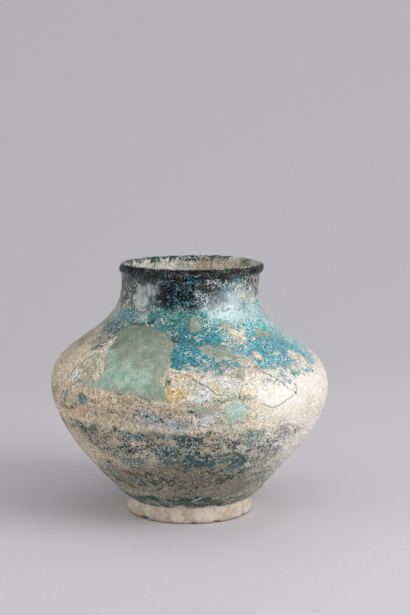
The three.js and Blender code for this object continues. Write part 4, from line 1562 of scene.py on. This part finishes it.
class VASE_OT_fills(bpy.types.Operator):
    """Makes the plaster fills between the sherds"""

    bl_idname = "vase.fills"
    bl_label = "Plaster Fills"

    def execute(self, context):
        wall = Wall(context.scene.vase_shape)
        fill_edges = fill_edge_tree(wall)
        materials = [shared(toned_plaster)] * 3
        for node in PLASTER_FILLS:
            tile = Tile(node, wall)
            lift = plaster_relief(tile.places, tile.wear)
            piece = tile.make(lift, materials)
            plaster = 1 - retouching(tile.places, fill_edges)
            layers = coat_layers(tile.places, OUTER_COAT, tile.wear, plaster)
            # The edge and the back are plain plaster, in the palest toning of the face.
            for name in ("toning", "plaster"):
                unseen = np.repeat(layers[name].max(0, keepdims=True), len(tile.inner), 0)
                set_layers(piece, slice(None), {name: np.concatenate([layers.pop(name), unseen])})
            set_layers(piece, tile.outer_points(), layers)
            finish_edges(piece)
        return {"FINISHED"}


# Points round the lower body, up its outside and inside, and across its floor
BODY_COLUMNS = 560
BODY_ROWS = 104
BODY_INNER_ROWS = 24
FLAT_ROWS = 8
RELIEF_RISE = 20  # how fast the relief sets in above the foot, against the climb to the seam
PLAIN_SHARE = 0.3  # size on the texture map of parts that hardly show, against the outer face


class VASE_OT_lower_body(bpy.types.Operator):
    """Makes the bowl from the foot up to the belly seam"""

    bl_idname = "vase.lower_body"
    bl_label = "Lower Body"

    def execute(self, context):
        shape = context.scene.vase_shape
        wall = Wall(shape)
        angles = np.arange(BODY_COLUMNS) * TURN / BODY_COLUMNS
        brim = seam_heights(
            wall, break_loops("lower_body", wall)[-1], angles, (CAD_GAP - shape.joint_gap) / 2,
        )
        climb = wall.length(brim)[:, None]
        share = np.linspace(0, 1, BODY_ROWS)
        heights = wall.height_at(share * climb)
        places = Places(wall, np.repeat(angles, BODY_ROWS), heights.ravel())
        wear = places.wear(((1 - share) * climb).ravel())
        layers = coat_layers(places, OUTER_COAT, wear, retouching(places, fill_edge_tree(wall)))
        lift = glaze_relief(places, layers["glaze"], wear).reshape(heights.shape)
        lift *= np.minimum(1, share * RELIEF_RISE)
        outer = turned(angles[:, None], *wall.outer(heights, lift))

        inner_share = np.linspace(1, 0, BODY_INNER_ROWS)
        inner_radius, inner_heights = wall.inner(wall.height_at(inner_share * climb))
        inner = turned(angles[:, None], inner_radius, inner_heights)
        outwards = np.arange(FLAT_ROWS) / FLAT_ROWS
        floor_height = shape.body_bottom + shape.floor
        floor = turned(angles[:, None], inner_radius[:, -1:] * outwards[::-1], floor_height)
        under = turned(angles[:, None], wall.radii[0] * outwards, shape.body_bottom)

        columns = np.concatenate([under, outer, inner, floor], 1)
        rows = columns.shape[1]
        inner_start = FLAT_ROWS + BODY_ROWS
        width = TURN * shape.belly_radius
        tall = wall.length(brim.mean())
        flat = np.linspace(0, PLAIN_SHARE * shape.foot_radius, FLAT_ROWS + 1)
        inner_lengths = (1 - inner_share) * tall * PLAIN_SHARE
        sheets = ring_sheets(BODY_COLUMNS, [
            Run(FLAT_ROWS, BROKEN, width * PLAIN_SHARE, flat),
            Run(inner_start - 1, OUTSIDE, width, share * tall),
            Run(inner_start, BROKEN, width * PLAIN_SHARE, np.array([0, shape.wall * PLAIN_SHARE])),
            Run(rows - FLAT_ROWS - 1, INSIDE, width * PLAIN_SHARE, inner_lengths),
            Run(rows - 1, INSIDE, width * PLAIN_SHARE, flat),
        ])
        materials = [shared(weathered_glaze), shared(inner_glaze), shared(bare_clay)]
        piece = make_piece(
            "lower_body", columns.reshape(-1, 3), sheets, materials,
        )
        row = np.arange(BODY_COLUMNS * rows) % rows
        set_layers(piece, (row >= FLAT_ROWS) & (row < inner_start), layers)
        finish_edges(piece)
        return {"FINISHED"}


# Points round the neck, up its outside, over the lip and down the inside
NECK_COLUMNS = 600
NECK_ROWS = 26
LIP_ROWS = 24
NECK_INNER_ROWS = 20
LIP_CROWN = math.radians(70)  # turn of the lip where the outer coat ends
FAR_FROM_SEAM = 1.0  # a distance at which nothing is stained
# Depth and grain of the nicks in the lip
LIP_NICKS = 0.4 * MM
NICK_GRAIN = 5 * MM


class VASE_OT_neck(bpy.types.Operator):
    """Makes the neck with its rolled lip"""

    bl_idname = "vase.neck"
    bl_label = "Neck"

    def execute(self, context):
        shape = context.scene.vase_shape
        wall = Wall(shape)
        angles = np.arange(NECK_COLUMNS) * TURN / NECK_COLUMNS
        brim = seam_heights(
            wall, break_loops("neck", wall)[0], angles, -(CAD_GAP - shape.joint_gap) / 2,
        )[:, None]
        share = np.linspace(0, 1, NECK_ROWS)
        heights = brim + (wall.join_height - brim) * share
        turns = np.linspace(LIP_START, LIP_END, LIP_ROWS + 1)[1:]
        lip_radius, lip_height = wall.lip_point(turns)
        inner_share = np.linspace(1, 0, NECK_INNER_ROWS)
        behind = brim + (shape.waist_height - brim) * inner_share
        inner_radius, inner_heights = wall.inner(behind)

        coated = np.concatenate(
            [heights, np.broadcast_to(lip_height, (NECK_COLUMNS, LIP_ROWS)), inner_heights], 1,
        )
        rows = coated.shape[1]
        places = Places(wall, np.repeat(angles, rows), coated.ravel())
        row = np.arange(coated.size) % rows
        from_seam = np.where(row < NECK_ROWS, (coated - brim).ravel(), FAR_FROM_SEAM)
        wear = places.wear(from_seam)
        inside = row >= NECK_ROWS + np.searchsorted(turns, LIP_CROWN)
        plaster = np.zeros(len(row))
        layers = coat_layers(places, OUTER_COAT, wear, plaster)
        for name, values in coat_layers(places, INNER_COAT, wear, plaster).items():
            layers[name][inside] = values[inside]
        lift = glaze_relief(places, layers["glaze"], wear).reshape(coated.shape)
        nicks = LIP_NICKS * noise_at(places.points, NICK_GRAIN, 3).reshape(coated.shape)

        outer = turned(angles[:, None], *wall.outer(heights, lift[:, :NECK_ROWS]))
        on_lip = slice(NECK_ROWS, NECK_ROWS + LIP_ROWS)
        swell = 1 + (lift + nicks)[:, on_lip] / shape.lip_radius
        rolled = turned(
            angles[:, None],
            wall.lip_radius + (lip_radius - wall.lip_radius) * swell,
            wall.lip_height + (lip_height - wall.lip_height) * swell,
        )
        inner = turned(angles[:, None], inner_radius, inner_heights)
        columns = np.concatenate([outer, rolled, inner, outer[:, :1]], 1)
        width = TURN * shape.waist_radius
        section = columns.mean(0)
        steps = np.hypot(np.diff(np.linalg.norm(columns[0, :, :2], axis=1)), np.diff(section[:, 2]))
        lengths = np.concatenate([[0], np.cumsum(steps)])
        sheets = ring_sheets(NECK_COLUMNS, [
            Run(rows - 1, OUTSIDE, width, lengths[:rows]),
            Run(rows, BROKEN, width * PLAIN_SHARE, lengths[rows - 1 :] * PLAIN_SHARE),
        ])
        materials = [shared(weathered_glaze), shared(inner_glaze), shared(broken_clay)]
        piece = make_piece("neck", columns.reshape(-1, 3), sheets, materials)
        set_layers(piece, np.arange(NECK_COLUMNS * (rows + 1)) % (rows + 1) < rows, layers)
        finish_edges(piece)
        return {"FINISHED"}


FOOT_COLUMNS = 300  # points round the foot ring
FOOT_STEP = 0.7 * MM  # spacing of the points of the section
FOOT_EDGE = 1.4 * MM  # how far the lower edges are worn round
FOOT_BEVEL = FOOT_EDGE * 0.3  # middle of the worn outer edge
# Chips: their depth and grain, how far up they reach, and the noise that starts and fills one
CHIP = 1.2 * MM
CHIP_GRAIN = 6 * MM
CHIP_REACH = 2.2 * MM
CHIP_START = 0.12
CHIP_FULL = 0.7
# Lumps: their height and grain, and how they go inside, against outside
LUMP = 0.35 * MM
LUMP_GRAIN = 11 * MM
LUMP_INSIDE = -0.4
# Darkening: how high it reaches from below, and how dark it is there and in the chips
DARKENING_HEIGHT = 1.2 * MM
DARKENING_BELOW = 0.55
DARKENING_IN_CHIPS = 0.8


class VASE_OT_foot_ring(bpy.types.Operator):
    """Makes the bare foot ring, chipped along its lower edge"""

    bl_idname = "vase.foot_ring"
    bl_label = "Foot Ring"

    def execute(self, context):
        shape = context.scene.vase_shape
        inside = shape.foot_radius - shape.foot_width
        outside = shape.foot_radius
        top = shape.body_bottom - shape.joint_gap
        corners = (
            (inside + FOOT_EDGE, 0),
            (outside - FOOT_EDGE, 0),
            (outside - FOOT_BEVEL, FOOT_BEVEL),
            (outside, FOOT_EDGE),
            (outside + shape.foot_ledge, top),
            (inside, top),
            (inside, FOOT_EDGE),
            (inside + FOOT_EDGE, 0),
        )
        section = [corners[0]]
        for start, end in zip(corners, corners[1:]):
            steps = max(1, round(math.dist(start, end) / FOOT_STEP))
            section += [Vector(start).lerp(Vector(end), k / steps) for k in range(1, steps + 1)]
        section = np.array(section)
        angles = np.arange(FOOT_COLUMNS) * TURN / FOOT_COLUMNS
        radius = np.broadcast_to(section[:, 0], (FOOT_COLUMNS, len(section)))
        height = np.broadcast_to(section[:, 1], radius.shape)
        points = turned(angles[:, None], radius, height)
        on_outside = radius > (inside + outside) / 2
        free = np.sin(np.pi * np.clip(height / top, 0, 1))
        lumps = LUMP * noise_at(points, LUMP_GRAIN, 3) * free * np.where(on_outside, 1, LUMP_INSIDE)
        edge = np.exp(-((np.hypot(radius - outside, height) / CHIP_REACH) ** 2))
        chips = CHIP * np.clip(noise_at(points, CHIP_GRAIN, 2) - CHIP_START, 0, CHIP_FULL) * edge
        columns = turned(
            angles[:, None], radius + lumps - chips, height + chips * (height < FOOT_EDGE),
        )
        lengths = np.concatenate([[0], np.cumsum(np.hypot(*np.diff(section, axis=0).T))])
        sheets = ring_sheets(FOOT_COLUMNS, [Run(len(section) - 1, OUTSIDE, TURN * outside, lengths)])
        piece = make_piece(
            "foot_ring", columns.reshape(-1, 3), sheets, [shared(bare_clay)],
        )
        # Darker towards the bottom edge and in the chips
        darkening = DARKENING_BELOW * np.exp(-((height / DARKENING_HEIGHT) ** 2)) + DARKENING_IN_CHIPS * chips / CHIP
        set_layers(piece, slice(None), {"darkening": np.clip(darkening, 0, 1).ravel()})
        finish_edges(piece)
        return {"FINISHED"}


# The camera: its place, its tilt from straight down and the width of its sensor in mm
CAMERA_PLACE = Vector((9.45, -910.4, 253.6)) * MM
CAMERA_PITCH = math.radians(90 - 7.906)
SENSOR_WIDTH = 36
# The paper sweep: a level floor, a quarter bend and an upright back
SWEEP_WIDTH = 8.0
SWEEP_NEAR = -2.5
SWEEP_FAR = 0.5
SWEEP_BEND = 1.6
SWEEP_TOP = 3.5
FLOOR_HEIGHT = -0.05 * MM
BEND_STEPS = 40
# The soft square lights, and the point that they face
LIGHT_PLACES = {"soft_key": Vector((1.0, -0.62, 0.8)), "soft_fill": Vector((-1.2, -0.5, 0.35))}
LIGHT_SIZE = 0.9
LIGHT_AIM = Vector((0, 0, 0.08))


class VASE_OT_stage(bpy.types.Operator):
    """Makes the paper sweep, the soft lights and the camera"""

    bl_idname = "vase.stage"
    bl_label = "Stage"

    def execute(self, context):
        settings = context.scene.vase_stage
        turns = np.linspace(0, math.pi / 2, BEND_STEPS)
        line = [(SWEEP_NEAR, 0.0)]
        line += [(SWEEP_FAR + SWEEP_BEND * math.sin(t), SWEEP_BEND * (1 - math.cos(t))) for t in turns]
        line.append((SWEEP_FAR + SWEEP_BEND, SWEEP_TOP))
        half = SWEEP_WIDTH / 2
        points = [(x, y, z + FLOOR_HEIGHT) for y, z in line for x in (-half, half)]
        faces = [(2 * i, 2 * i + 1, 2 * i + 3, 2 * i + 2) for i in range(len(line) - 1)]
        mesh = bpy.data.meshes.new("paper_sweep")
        mesh.from_pydata(points, [], faces)
        mesh.polygons.foreach_set("use_smooth", np.ones(len(faces), bool))
        mesh.materials.append(studio_paper(settings.paper))
        sweep = bpy.data.objects.new("paper_sweep", mesh)
        context.scene.collection.objects.link(sweep)

        powers = {"soft_key": settings.key_power, "soft_fill": settings.fill_power}
        for name, place in LIGHT_PLACES.items():
            light = bpy.data.lights.new(name, "AREA")
            light.size = LIGHT_SIZE
            light.energy = powers[name]
            lamp = bpy.data.objects.new(name, light)
            lamp.location = place
            lamp.rotation_euler = (LIGHT_AIM - place).to_track_quat("-Z", "Y").to_euler()
            context.scene.collection.objects.link(lamp)

        world = bpy.data.worlds.new("even_light")
        world.use_nodes = True
        background = world.node_tree.nodes["Background"]
        background.inputs["Color"].default_value = linear("#ffffff")
        background.inputs["Strength"].default_value = settings.room_light
        context.scene.world = world

        camera = bpy.data.cameras.new("camera")
        camera.lens = settings.lens
        camera.sensor_width = SENSOR_WIDTH
        camera_object = bpy.data.objects.new("camera", camera)
        camera_object.location = CAMERA_PLACE
        camera_object.rotation_euler = (CAMERA_PITCH, 0, 0)
        context.scene.collection.objects.link(camera_object)
        context.scene.camera = camera_object
        context.scene.view_settings.view_transform = "Standard"
        return {"FINISHED"}


class VASE_PT_panel(bpy.types.Panel):
    """Lists the pieces of the vase, its sizes and its colours"""

    bl_idname = "VASE_PT_panel"
    bl_label = "Mended Vase"
    bl_space_type = "VIEW_3D"
    bl_region_type = "UI"
    bl_category = "Vase"

    def draw(self, context):
        for operator in OPERATORS:
            self.layout.operator(operator.bl_idname)
        scene = context.scene
        for group in (scene.vase_shape, scene.vase_colours, scene.vase_stage):
            for name in group.__annotations__:
                self.layout.prop(group, name)


OPERATORS = (
    VASE_OT_foot_ring,
    VASE_OT_lower_body,
    VASE_OT_sherds,
    VASE_OT_fills,
    VASE_OT_neck,
    VASE_OT_stage,
)
CLASSES = (VaseShape, VaseColours, VaseStage, *OPERATORS, VASE_PT_panel)


def register():
    for cls in CLASSES:
        bpy.utils.register_class(cls)
    bpy.types.Scene.vase_shape = bpy.props.PointerProperty(type=VaseShape)
    bpy.types.Scene.vase_colours = bpy.props.PointerProperty(type=VaseColours)
    bpy.types.Scene.vase_stage = bpy.props.PointerProperty(type=VaseStage)
    noise.seed_set(NOISE_SEED)


def unregister():
    del bpy.types.Scene.vase_stage
    del bpy.types.Scene.vase_colours
    del bpy.types.Scene.vase_shape
    for cls in reversed(CLASSES):
        bpy.utils.unregister_class(cls)


def main():
    register()
    bpy.ops.vase.foot_ring()
    bpy.ops.vase.lower_body()
    bpy.ops.vase.sherds()
    bpy.ops.vase.fills()
    bpy.ops.vase.neck()
    bpy.ops.vase.stage()


if __name__ == "__main__":
    main()
